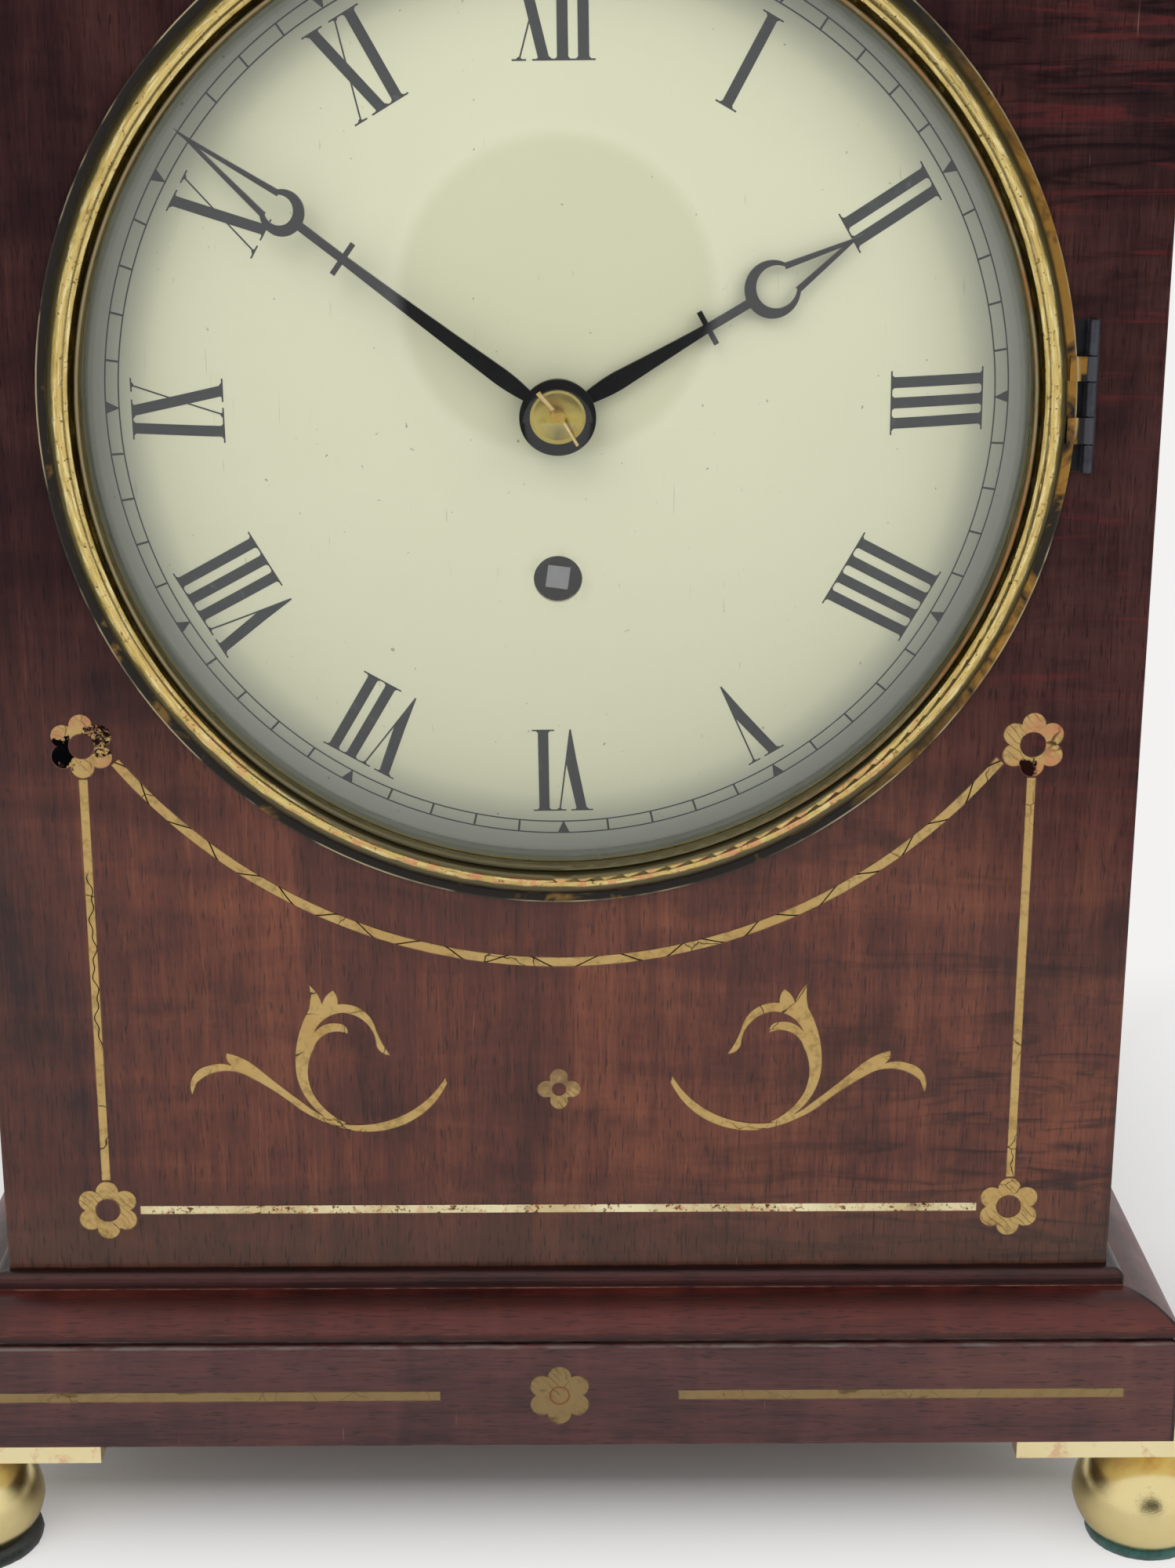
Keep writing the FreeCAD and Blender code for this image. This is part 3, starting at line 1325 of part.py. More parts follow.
def click():
    """Lever that stops the ratchet, drawn just clear of the tooth tips."""
    x, z = click_pivot()
    y1 = FRONT_PLATE_Y - END_SHAKE
    y0 = y1 - RATCHET_T
    hub_r = 2.4
    beak = (WINDING[0] - RATCHET_R * 0.5, WINDING[1] + RATCHET_R * 0.95)
    path = [
        (x - hub_r * 0.4, z + hub_r * 0.9),
        (beak[0], beak[1] + 2.6, (x + beak[0]) / 2 - 1.0, (z + beak[1]) / 2 + 3.2),
        beak,
        (x + hub_r * 0.7, z - hub_r * 0.5, (x + beak[0]) / 2, (z + beak[1]) / 2 + 0.6),
    ]
    lever = join([front_prism(path, y0, y1), rod_y(hub_r, y0, y1, (x, z))])
    keep_out = rod_y(RATCHET_R + CLICK_GAP, y0, y1, WINDING)
    return lever.cut([keep_out, rod_y(PIVOT_R * 1.6 + RUNNING, y0, y1, (x, z))])


# ---- plates ----
def pillar_places():
    return [
        (side * PILLAR_X, z)
        for side in (-1, 1)
        for z in (DIAL_Z - PILLAR_DROP, DIAL_Z + PILLAR_TOP)
    ]


def plate(y0, holes):
    """Brass plate with pivot holes: (place, radius) for each."""
    slab = box(-PLATE_W / 2, PLATE_W / 2, y0, y0 + PLATE_T, DIAL_Z - PLATE_DROP, DIAL_Z + PLATE_TOP)
    tools = [rod_y(radius, y0, y0 + PLATE_T, at) for at, radius in holes]
    tools += [rod_y(PILLAR_TENON_R, y0, y0 + PLATE_T, at) for at in pillar_places()]
    return slab.cut(tools)


def pivot_holes():
    return [(at, PIVOT_R + RUNNING) for at in (INTER, THIRD, ESCAPE)]


def front_plate():
    """Front plate with the stud that the minute wheel turns on and the click's stud."""
    holes = pivot_holes() + [
        (CENTRE, CENTRE_ARBOR_R + RUNNING),
        (WINDING, WINDING_PIVOT_R + RUNNING),
        (PALLET, PIVOT_R + RUNNING),
    ]
    stud = rod_y(minute_stud_r(), HOUR_WHEEL_Y - 5 * END_SHAKE, FRONT_PLATE_Y, MINUTE)
    collar_y = CANNON_WHEEL_Y + CANNON_WHEEL_T + END_SHAKE
    collar = rod_y(minute_stud_r() * 1.6, collar_y, FRONT_PLATE_Y, MINUTE)
    click_stud = rod_y(PIVOT_R * 1.6, ratchet_y() - END_SHAKE, FRONT_PLATE_Y, click_pivot())
    return join([plate(FRONT_PLATE_Y, holes), stud, collar, click_stud])


def back_plate():
    """Back plate with an opening round the pallet arbor, which runs in the cock behind it."""
    holes = pivot_holes() + [
        (CENTRE, PIVOT_R + RUNNING),
        (WINDING, PIVOT_R * 3 + RUNNING),
        (PALLET, ARBOR_R * 3),
    ]
    return plate(BACK_PLATE_Y, holes)


def plate_pillars():
    """Pillars turned with a swell, a shoulder at each plate and a pinned tenon in front."""
    pillars = []
    front = FRONT_PLATE_Y - PILLAR_TENON
    mid = (PLATE_IN_Y + BACK_PLATE_Y) / 2
    for at in pillar_places():
        path = [
            (0, front),
            (PILLAR_TENON_R, front),
            (PILLAR_TENON_R, PLATE_IN_Y),
            (PILLAR_R, PLATE_IN_Y),
            (PILLAR_R, PLATE_IN_Y + PILLAR_TENON),
            (PILLAR_R * 0.7, PLATE_IN_Y + PILLAR_TENON * 1.6),
            (PILLAR_R * 0.7, BACK_PLATE_Y - PILLAR_TENON * 1.6, PILLAR_R * 0.95, mid),
            (PILLAR_R, BACK_PLATE_Y - PILLAR_TENON),
            (PILLAR_R, BACK_PLATE_Y),
            (PILLAR_TENON_R, BACK_PLATE_Y),
            (PILLAR_TENON_R, PLATE_OUT_Y),
            (0, PLATE_OUT_Y),
        ]
        pillars.append(turned_y(path, at).cut(pillar_pin(at)))
    return pillars


def pillar_pin(at):
    """Taper pin across the tenon, against the front plate."""
    y = FRONT_PLATE_Y - PIN_R
    start = V(at[0] - PIN_LEN / 2, y, at[1])
    return Part.makeCone(PIN_R, PIN_R * 0.7, PIN_LEN, start, V(1, 0, 0))


def pillar_pins():
    return [pillar_pin(at) for at in pillar_places()]


def back_cock():
    """Bracket on the back plate that holds the pallet arbor and the pendulum's chops."""
    x, z = PALLET
    y0 = PLATE_OUT_Y
    y1 = y0 + COCK_STAND
    y2 = y1 + COCK_T
    low = z - COCK_H / 2
    high = z + COCK_H / 2
    half = COCK_W / 2
    bridge = box(-half, half, y1, y2, low, high)
    legs = [
        box(side * (half - COCK_LEG_W / 2) - COCK_LEG_W / 2, side * (half - COCK_LEG_W / 2) + COCK_LEG_W / 2,
            y0, y1, low, high)
        for side in (-1, 1)
    ]
    chop_z = z + CHOP_RISE
    chops = box(-CHOP_W / 2, CHOP_W / 2, y2, y2 + CHOP_D, chop_z, chop_z + CHOP_H)
    slot_top = z + SUSPENSION_UP + CHOP_SLOT / 2
    slot = box(-CHOP_SLOT / 2, CHOP_SLOT / 2, y2, y2 + CHOP_D, chop_z, slot_top)
    pivot = rod_y(PIVOT_R + RUNNING, y1, y2, PALLET)
    return join([bridge, chops] + legs).cut([pivot, slot])


# ---- escapement and pendulum ----
def anchor():
    """Pallet anchor, its arbor and the crutch that reaches back to the pendulum rod."""
    y0 = ESCAPE_WHEEL_Y - END_SHAKE
    y1 = ESCAPE_WHEEL_Y + WHEEL_T + END_SHAKE
    inner = ESCAPE_R + PALLET_CLEAR
    outer = inner + 2.4
    half = math.radians(PALLET_SPAN_DEG)

    def at(radius, angle):
        return (ESCAPE[0] + radius * math.sin(angle), ESCAPE[1] + radius * math.cos(angle))

    path = [
        at(inner, -half),
        at(outer, -half),
        at(outer, half) + at(outer, 0),
        at(inner, half),
        at(inner, -half) + at(inner + 1.0, 0),
    ]
    bow = front_prism(path, y0, y1)
    hub = rod_y(ARBOR_R * 2.2, y0, y1, PALLET)
    web = box(-ARBOR_R * 1.6, ARBOR_R * 1.6, y0, y1, ESCAPE[1] + inner + 1.2, PALLET[1])
    cock_y = PLATE_OUT_Y + COCK_STAND
    axle = rod_y(ARBOR_R, PLATE_IN_Y + END_SHAKE, cock_y - END_SHAKE, PALLET)
    pivots = rod_y(PIVOT_R, FRONT_PLATE_Y, cock_y + COCK_T, PALLET)
    crutch_y = PLATE_OUT_Y + COCK_STAND / 2
    half_w = CRUTCH_W / 2
    low = PALLET[1] - CRUTCH_LEN
    drop = box(-half_w, half_w, crutch_y - half_w / 2, crutch_y + half_w / 2, low, PALLET[1])
    fork_in = ROD_R + CRUTCH_PLAY
    fork_out = fork_in + 1.4
    fork_end = PENDULUM_Y + ROD_R + 2.0
    foot = box(-fork_out, fork_out, crutch_y - half_w / 2, fork_end, low, low + 1.8)
    slot = box(-fork_in, fork_in, PENDULUM_Y - fork_in - 0.6, fork_end, low, low + 1.8)
    return join([bow, hub, web, axle, pivots, drop, foot.cut(slot)])


def pendulum_top():
    return PALLET[1]


def bob_z():
    return pendulum_top() - PENDULUM_LEN


def pendulum_rod():
    """Suspension spring, rod and rating screw."""
    top = pendulum_top()
    spring_low = top - SUSPENSION_LEN
    half_w = SUSPENSION_W / 2
    half_t = SUSPENSION_T / 2
    high = top + SUSPENSION_UP
    spring = box(-half_t, half_t, PENDULUM_Y - half_w, PENDULUM_Y + half_w, spring_low, high)
    clip = box(-2.0, 2.0, PENDULUM_Y - half_w, PENDULUM_Y + half_w, spring_low - 5.0, spring_low)
    end = bob_z() - BOB_R - RATING_SCREW
    rod = rod_z(ROD_R, end, spring_low, 0, PENDULUM_Y)
    nut_top = bob_z() - BOB_R
    nut = rod_z(RATING_NUT_R, nut_top - RATING_NUT_H, nut_top, 0, PENDULUM_Y)
    return join([spring, clip, rod, nut])


def pendulum_bob():
    """Brass lens threaded on the rod."""
    half = BOB_T / 2
    rim = 1.0
    z = bob_z()
    path = [
        (0, PENDULUM_Y - half),
        (BOB_R, PENDULUM_Y - rim, BOB_R * 0.6, PENDULUM_Y - half * 0.72),
        (BOB_R, PENDULUM_Y + rim),
        (0, PENDULUM_Y + half, BOB_R * 0.6, PENDULUM_Y + half * 0.72),
    ]
    lens = turned_y(path, (0, z))
    return lens.cut(rod_z(ROD_R, z - BOB_R - 1, z + BOB_R + 1, 0, PENDULUM_Y))


# ---- seat ----
def seat_z():
    return DIAL_Z - PLATE_DROP


def seat_board():
    """Board under the movement, on a cleat at each side of the case."""
    z1 = seat_z()
    z0 = z1 - SEAT_T
    inner = HALF_W - BOARD_T
    y1 = SEAT_FRONT + SEAT_D
    board = box(-inner, inner, SEAT_FRONT, y1, z0, z1)
    cleat = box(inner - CLEAT_W, inner, SEAT_FRONT, y1, z0 - CLEAT_H, z0)
    return [cut_all(board, seat_screws()), cleat, mirrored(cleat)]


def seat_screws():
    """Screws up through the seat board, with round heads below it."""
    screws = []
    y = (PLATE_IN_Y + BACK_PLATE_Y) / 2
    z1 = seat_z()
    for side in (-1, 1):
        x = side * PILLAR_X
        shank = rod_z(SEAT_SCREW_R, z1 - SEAT_T, DIAL_Z - PILLAR_DROP - PILLAR_R * 0.95, x, y)
        head = rod_z(SEAT_SCREW_R * 2, z1 - SEAT_T - 2, z1 - SEAT_T, x, y)
        screws.append(join([shank, head]))
    return screws


# ---- back door ----
def back_hinge_heights():
    low = CASE_Z + BACK_RAIL_END
    high = TOP_Z - BACK_RAIL_END
    return (low + (high - low) * 0.15, low + (high - low) * 0.78)


def back_hinge_x():
    return -(HALF_W - BACK_RAIL_SIDE)


def back_leaf(z, side):
    """Brass leaf let into the frame, or into the door, beside the hinge axis."""
    x = back_hinge_x()
    gap = DOOR_GAP / 2
    if side < 0:
        x0, x1 = x - BACK_HINGE_LEAF, x - gap
    else:
        x0, x1 = x + DOOR_GAP + gap, x + BACK_HINGE_LEAF
    return box(x0, x1, BACK_Y - BACK_HINGE_LEAF_T, BACK_Y, z, z + BACK_HINGE_H)


def back_hinges_fixed():
    """Leaf, outer knuckles and pin of each back hinge."""
    hinges = []
    x = back_hinge_x()
    third = BACK_HINGE_H / 3
    for z in back_hinge_heights():
        parts = [back_leaf(z, -1)]
        for low in (z, z + 2 * third):
            parts.append(rod_z(BACK_HINGE_R, low, low + third, x, BACK_HINGE_Y))
            parts.append(box(x - BACK_HINGE_R, x - DOOR_GAP / 2, BACK_Y - BACK_HINGE_LEAF_T,
                             BACK_HINGE_Y, low, low + third))
        parts.append(rod_z(BACK_PIN_R, z, z + BACK_HINGE_H, x, BACK_HINGE_Y))
        hinges.append(join(parts))
    return hinges


def door_rectangle():
    """The door's edges in X and Z, inside the back frame's opening."""
    x = HALF_W - BACK_RAIL_SIDE
    return (
        -x + DOOR_GAP,
        x - DOOR_CLEAR,
        CASE_Z + BACK_RAIL_END + DOOR_CLEAR,
        TOP_Z - BACK_RAIL_END - DOOR_CLEAR,
    )


def door_leaves():
    leaves = []
    x = back_hinge_x()
    third = BACK_HINGE_H / 3
    for z in back_hinge_heights():
        low = z + third + DOOR_GAP
        high = z + 2 * third - DOOR_GAP
        knuckle = rod_z(BACK_HINGE_R, low, high, x, BACK_HINGE_Y)
        web = box(x + DOOR_GAP * 1.5, x + BACK_HINGE_R, BACK_Y - BACK_HINGE_LEAF_T, BACK_HINGE_Y, low, high)
        bore = rod_z(BACK_PIN_R + RUNNING, low, high, x, BACK_HINGE_Y)
        leaves.append(join([back_leaf(z, 1), knuckle, web]).cut(bore))
    return leaves


def back_door_frame():
    x0, x1, z0, z1 = door_rectangle()
    slab = box(x0, x1, INNER_BACK_Y, BACK_Y, z0, z1)
    sight = box(x0 + DOOR_STILE, x1 - DOOR_STILE, INNER_BACK_Y, BACK_Y, z0 + DOOR_STILE, z1 - DOOR_STILE)
    leaves = [back_leaf(z, 1) for z in back_hinge_heights()]
    return cut_all(slab, [sight, back_door_glass(), knob_tenon()] + leaves)


def back_door_glass():
    x0, x1, z0, z1 = door_rectangle()
    edge = DOOR_STILE - REBATE
    y0 = INNER_BACK_Y + REBATE
    return box(x0 + edge, x1 - edge, y0, y0 + PANE_T, z0 + edge, z1 - edge)


def knob_place():
    x0, x1, z0, z1 = door_rectangle()
    return (x1 - DOOR_STILE / 2, (z0 + z1) / 2)


def knob_tenon():
    return rod_y(KNOB_R * 0.3, BACK_Y - BOARD_T / 2, BACK_Y, knob_place())


def back_door_knob():
    y = BACK_Y
    path = [
        (0, y),
        (KNOB_R * 0.8, y),
        (KNOB_R * 0.8, y + 1.2),
        (KNOB_R * 0.45, y + KNOB_LEN * 0.3, KNOB_R * 0.5, y + KNOB_LEN * 0.18),
        (KNOB_R, y + KNOB_LEN * 0.7, KNOB_R * 0.85, y + KNOB_LEN * 0.45),
        (KNOB_R * 0.5, y + KNOB_LEN, KNOB_R * 0.85, y + KNOB_LEN * 0.93),
        (0, y + KNOB_LEN),
    ]
    return join([turned_y(path, knob_place()), knob_tenon()])


# ---- everything ----
def build():
    os.makedirs("parts", exist_ok=True)
    flowers = corner_flowers()
    lines = case_inlay_lines()
    band = swag()
    scrolls = scroll()
    right_side = side_panel()
    fret = side_fret()
    cloth = fret_cloth()
    boss = handle_boss()
    ring = ring_handle()
    inner = HALF_W - BOARD_T

    write("front_panel", front_panel(flowers + lines + [band] + scrolls))
    write("right_side_panel", right_side)
    write("left_side_panel", mirrored(right_side))
    write("bottom_board", box(-HALF_W, HALF_W, 0, BACK_Y, MOULD_Z, CASE_Z))
    write("top_board", box(-inner, inner, BOARD_T, INNER_BACK_Y, TOP_Z - BOARD_T, TOP_Z))
    write("back_frame", back_frame())
    write("base_moulding", base_moulding())
    write("plinth_boards", plinth_boards())
    write("cornice", cornice())
    write("roof", roof())
    write("finial", finial())
    write("inlay_flowers", flowers + [plinth_flower()])
    write("inlay_lines", lines + plinth_inlay_lines())
    write("inlay_swag", band)
    write("inlay_scrolls", scrolls)
    write("side_frets", [fret, mirrored(fret)])
    write("fret_cloths", [cloth, mirrored(cloth)])
    write("handle_bosses", [boss, mirrored(boss)])
    write("right_ring_handle", ring)
    write("left_ring_handle", mirrored(ring))

    places = foot_places()
    write("foot_plates", [foot_plate(x, y0, y1) for x, y, y0, y1 in places])
    write("ball_feet", [ball_foot(x, y) for x, y, y0, y1 in places])
    write("foot_pads", foot_pads(places))

    write("bezel_hinge_leaf", bezel_hinge_leaf())
    write("bezel", bezel())
    write("bezel_glass", bezel_glass())
    write("glass_ring", glass_ring())
    write("sight_ring", sight_ring())
    write("dial", dial())
    write("dial_feet", dial_feet())
    write("minute_hand", minute_hand())
    write("hour_hand", hour_hand())
    write("hand_collet", hand_collet().cut(hand_pin()))
    write("hand_pin", hand_pin())

    write("front_plate", front_plate())
    write("back_plate", back_plate())
    write("plate_pillars", plate_pillars())
    write("pillar_pins", pillar_pins())
    write("back_cock", back_cock())
    write("centre_wheel", centre_wheel())
    write("cannon_pinion", cannon_pinion())
    write("hour_wheel", hour_wheel())
    write("minute_wheel", minute_wheel())
    write("intermediate_wheel", intermediate_wheel())
    write("third_wheel", third_wheel())
    write("escape_wheel", escape_wheel())
    write("barrel", barrel())
    write("mainspring", mainspring())
    write("barrel_arbor", barrel_arbor())
    write("ratchet_wheel", ratchet_wheel())
    write("click", click())
    write("anchor", anchor())
    write("pendulum_rod", pendulum_rod())
    write("pendulum_bob", pendulum_bob())
    write("seat_board", seat_board())
    write("seat_screws", seat_screws())

    write("back_hinges", back_hinges_fixed())
    write("back_door_frame", back_door_frame())
    write("back_door_glass", back_door_glass())
    write("back_door_brasses", door_leaves() + [back_door_knob()])


build()
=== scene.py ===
import math

import bpy
from bpy.props import FloatProperty, FloatVectorProperty, IntProperty, PointerProperty
from mathutils import Matrix, Vector


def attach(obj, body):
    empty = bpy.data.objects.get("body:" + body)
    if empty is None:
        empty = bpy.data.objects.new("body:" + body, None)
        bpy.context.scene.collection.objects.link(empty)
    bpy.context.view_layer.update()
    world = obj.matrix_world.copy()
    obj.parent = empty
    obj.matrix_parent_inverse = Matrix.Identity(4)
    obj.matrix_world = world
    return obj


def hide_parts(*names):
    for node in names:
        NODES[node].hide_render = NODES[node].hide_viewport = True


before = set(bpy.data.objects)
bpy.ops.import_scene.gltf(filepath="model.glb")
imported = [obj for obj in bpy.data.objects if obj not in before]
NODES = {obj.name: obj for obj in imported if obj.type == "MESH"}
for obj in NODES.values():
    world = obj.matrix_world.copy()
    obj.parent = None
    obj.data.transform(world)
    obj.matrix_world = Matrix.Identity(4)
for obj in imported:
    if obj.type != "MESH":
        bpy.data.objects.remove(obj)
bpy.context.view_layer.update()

bl_info = {
    "name": "Bracket clock finishes",
    "version": (1, 0, 0),
    "blender": (4, 5, 0),
    "location": "View3D > Sidebar > Clock",
    "description": "Finishes a brass-inlaid mahogany bracket clock, prints its dial and lights it",
    "category": "Object",
}

# Places on the clock, in metres. X runs right, Y runs back, Z runs up from the floor.
FACE_Y = -0.0723
DIAL_Z = 0.2619
CASE_HALF_W = 0.123
CASE_DEPTH = 0.155
MIDDLE_Y = FACE_Y + CASE_DEPTH / 2
MOULD_FOOT_Z = 0.0579
CASE_FOOT_Z = 0.0700
PLINTH_LINE_Z = 0.0456
DIAL_SPHERE_R = 0.249
DIAL_APEX_Y = FACE_Y - 0.00742
WINDING_HOLE_Z = DIAL_Z - 0.034
WINDING_HOLE_R = 0.0050

FLOWER_X = 0.1003
UPPER_FLOWER_Z = DIAL_Z - 0.0709
LOWER_FLOWER_Z = DIAL_Z - 0.1778
CENTRE_FLOWER_Z = DIAL_Z - 0.1491
FLOWER_REACH = 0.0095        # a little past the tips of a corner flower's petals
SWAG_R = 0.1194
SWAG_HALF_W = 0.00105
SWAG_TWIST = 0.0186          # length of one turn of the swag's twist
CRACK_TOP_Z = DIAL_Z - 0.098
CRACK_FOOT_Z = DIAL_Z - 0.140

# The bezel's profile, as distances from the middle of the dial.
BEAD_R = 0.09625
ROLL_FOOT_R = 0.0970
ROLL_IN_R = 0.0973
ROLL_TOP_R = 0.0996
ROLL_OUT_R = 0.1016
FLANGE_R = 0.1030
FLANGE_EDGE_R = 0.1050
TAB_X = 0.10525              # where the hinge's tabs leave the flange
KNUCKLE_X = 0.1066

FRET_SILL_Z = DIAL_Z - 0.142
FRET_W = 0.066
FRET_H = 0.104
CLOTH_MID_X = CASE_HALF_W - 0.0012 - 0.0004
PAD_R = 0.0129
LEFT_PAD_R = 0.0156
PAD_X = 0.1355
PAD_FRONT_Y = FACE_Y + 0.0020
PAD_BACK_Y = FACE_Y + 0.1387
PAD_T = 0.0025

# The stage.
FLOOR_FRONT_Y = -0.95
FLOOR_SHADE_Y = -0.046       # the floor in front of this place is plain white to the camera
FLOOR_END_Y = 0.9
BACKDROP_Y = 2.4             # behind any view of the clock from the back
BACKDROP_BEND = 0.4
STAGE_HALF_W = 3.0
FAR_WHITE = (243, 242, 241)
CAMERA_PLACE = (-0.0003, FACE_Y - 0.5069, DIAL_Z + 0.0692)
MIRROR_RISE = math.radians(5.3)

WHITE = (1, 1, 1, 1)
NUMERALS = ["XII", "I", "II", "III", "IIII", "V", "VI", "VII", "VIII", "IX", "X", "XI"]


def linear(red, green, blue):
    """A colour read as 0 to 255 on a screen, as the linear values that a shader takes."""
    values = []
    for part in (red, green, blue):
        share = part / 255
        values.append(share / 12.92 if share <= 0.04045 else ((share + 0.055) / 1.055) ** 2.4)
    return tuple(values)


def with_alpha(value):
    if isinstance(value, (bpy.types.NodeSocket, int, float)):
        return value
    numbers = tuple(value)
    return numbers + (1.0,) if len(numbers) == 3 else numbers


def scaled_colour(colour, factor):
    return tuple(min(1.0, part * factor) for part in tuple(colour)[:3])


def colour_setting(name, description, red, green, blue):
    return FloatVectorProperty(
        name=name, description=description, subtype="COLOR", size=3, min=0, max=1,
        default=linear(red, green, blue))


def length_setting(name, description, metres, low, high):
    return FloatProperty(
        name=name, description=description, subtype="DISTANCE", unit="LENGTH", precision=5,
        default=metres, min=low, max=high)


def angle_setting(name, description, degrees):
    return FloatProperty(name=name, description=description, subtype="ANGLE", unit="ROTATION",
                         default=math.radians(degrees))


def power_setting(name, description, watts):
    return FloatProperty(name=name, description=description, subtype="POWER", unit="POWER",
                         default=watts, min=0.0, max=200.0)


class ClockWoodSettings(bpy.types.PropertyGroup):
    dark: colour_setting("Dark figure", "Colour of the dark bands in the mahogany", 42, 20, 19)
    middle: colour_setting("Ground", "Main colour of the mahogany", 84, 42, 31)
    light: colour_setting("Light figure", "Colour of the light bands in the mahogany", 122, 68, 46)
    moulding: colour_setting("Moulding red", "Redder stain on the base moulding", 84, 26, 19)
    plinth: colour_setting("Plinth purple", "Cooler stain on the plinth", 70, 42, 46)
    carcass: colour_setting("Inner boards", "Colour of the unpolished boards inside", 128, 84, 54)
    edge_round: length_setting("Edge rounding", "How far the sharp edges of the boards are eased",
                               0.0005, 0.0, 0.003)


class ClockMetalSettings(bpy.types.PropertyGroup):
    inlay: colour_setting("Inlay brass", "Dulled brass of the lines, scrolls and flowers", 208, 176, 116)
    bezel: colour_setting("Bezel brass", "Bright brass on the roll of the bezel", 216, 190, 118)
    bezel_copper: colour_setting("Bezel copper", "Coppery brass of the bead", 158, 106, 64)
    polished: colour_setting("Polished brass", "Feet, foot plates, handles and finial", 236, 218, 160)
    movement: colour_setting("Movement brass", "Plates and wheels of the movement", 206, 172, 96)
    tarnish: colour_setting("Tarnish", "Brown-black film left in the hollows of the brass", 38, 28, 18)
    steel: colour_setting("Steel", "Bright steel of the movement", 168, 170, 174)
    hand_steel: colour_setting("Hand steel", "Blackened steel of the hands and the hinge", 9, 9, 11)


class ClockDialSettings(bpy.types.PropertyGroup):
    paint: colour_setting("Dial paint", "Cream paint in the middle of the dial", 216, 214, 184)
    # Painted shade colour for the dial's rim.
    rim_shade_colour: colour_setting("Dial rim shade", "Painted shade, greying the paint by the rim of the dial", 158, 160, 152)
    ink: colour_setting("Printing", "Faded black of the numerals and the minute track", 34, 37, 38)
    numeral_foot: length_setting("Numeral foot radius", "Radius of the feet of the numerals",
                                 0.0676, 0.04, 0.08)
    numeral_height: length_setting("Numeral height", "Height of the numerals", 0.0198, 0.005, 0.03)
    thick: length_setting("Thick stroke", "Width of the thick strokes", 0.0022, 0.0005, 0.005)
    thin: length_setting("Thin stroke", "Width of the hairlines and serifs", 0.00034, 0.0001, 0.002)
    track_inner: length_setting("Track inner radius", "Inner line of the minute track",
                                0.09007, 0.05, 0.099)
    track_outer: length_setting("Track outer radius", "Outer line of the minute track",
                                0.0930, 0.05, 0.099)
    track_line: length_setting("Track line", "Width of the lines of the minute track",
                               0.00032, 0.0001, 0.002)
    print_lift: length_setting("Print thickness", "Height of the printing above the paint",
                               0.00003, 0.00001, 0.0002)
    print_turn: angle_setting("Print turn", "How far the printing sits turned anticlockwise", 0.7)


class ClockClothSettings(bpy.types.PropertyGroup):
    felt: colour_setting("Felt", "Teal felt under the feet", 44, 92, 86)
    silk: colour_setting("Silk", "Silk behind the side frets", 92, 26, 24)
    silk_folds: IntProperty(name="Silk gathers", description="Gathers across one silk panel",
                            default=13, min=3, max=40)
    fold_depth: length_setting("Gather depth", "How far the silk stands in and out",
                               0.00018, 0.0, 0.0003)


class ClockStageSettings(bpy.types.PropertyGroup):
    floor: colour_setting("Floor", "Pale paper that the clock stands on", 232, 232, 232)
    world_light: FloatProperty(name="Room light", description="Strength of the light from all round",
                               default=0.80, min=0.0, max=2.0)
    key_light: power_setting("Main lamp", "Power of the large soft lamp", 12.0)
    fill_light: power_setting("Second lamp", "Power of the soft lamp on the right", 5.0)
    lens: FloatProperty(name="Lens", description="Focal length of the camera", subtype="DISTANCE_CAMERA",
                        unit="CAMERA", default=57.3, min=20.0, max=200.0)
    tilt_down: angle_setting("Tilt down", "How far the camera looks down", 16.33)
    swing_right: angle_setting("Swing right", "How far the camera looks to the right", 0.73)
    roll: angle_setting("Roll", "How far the camera leans over", 0.08)


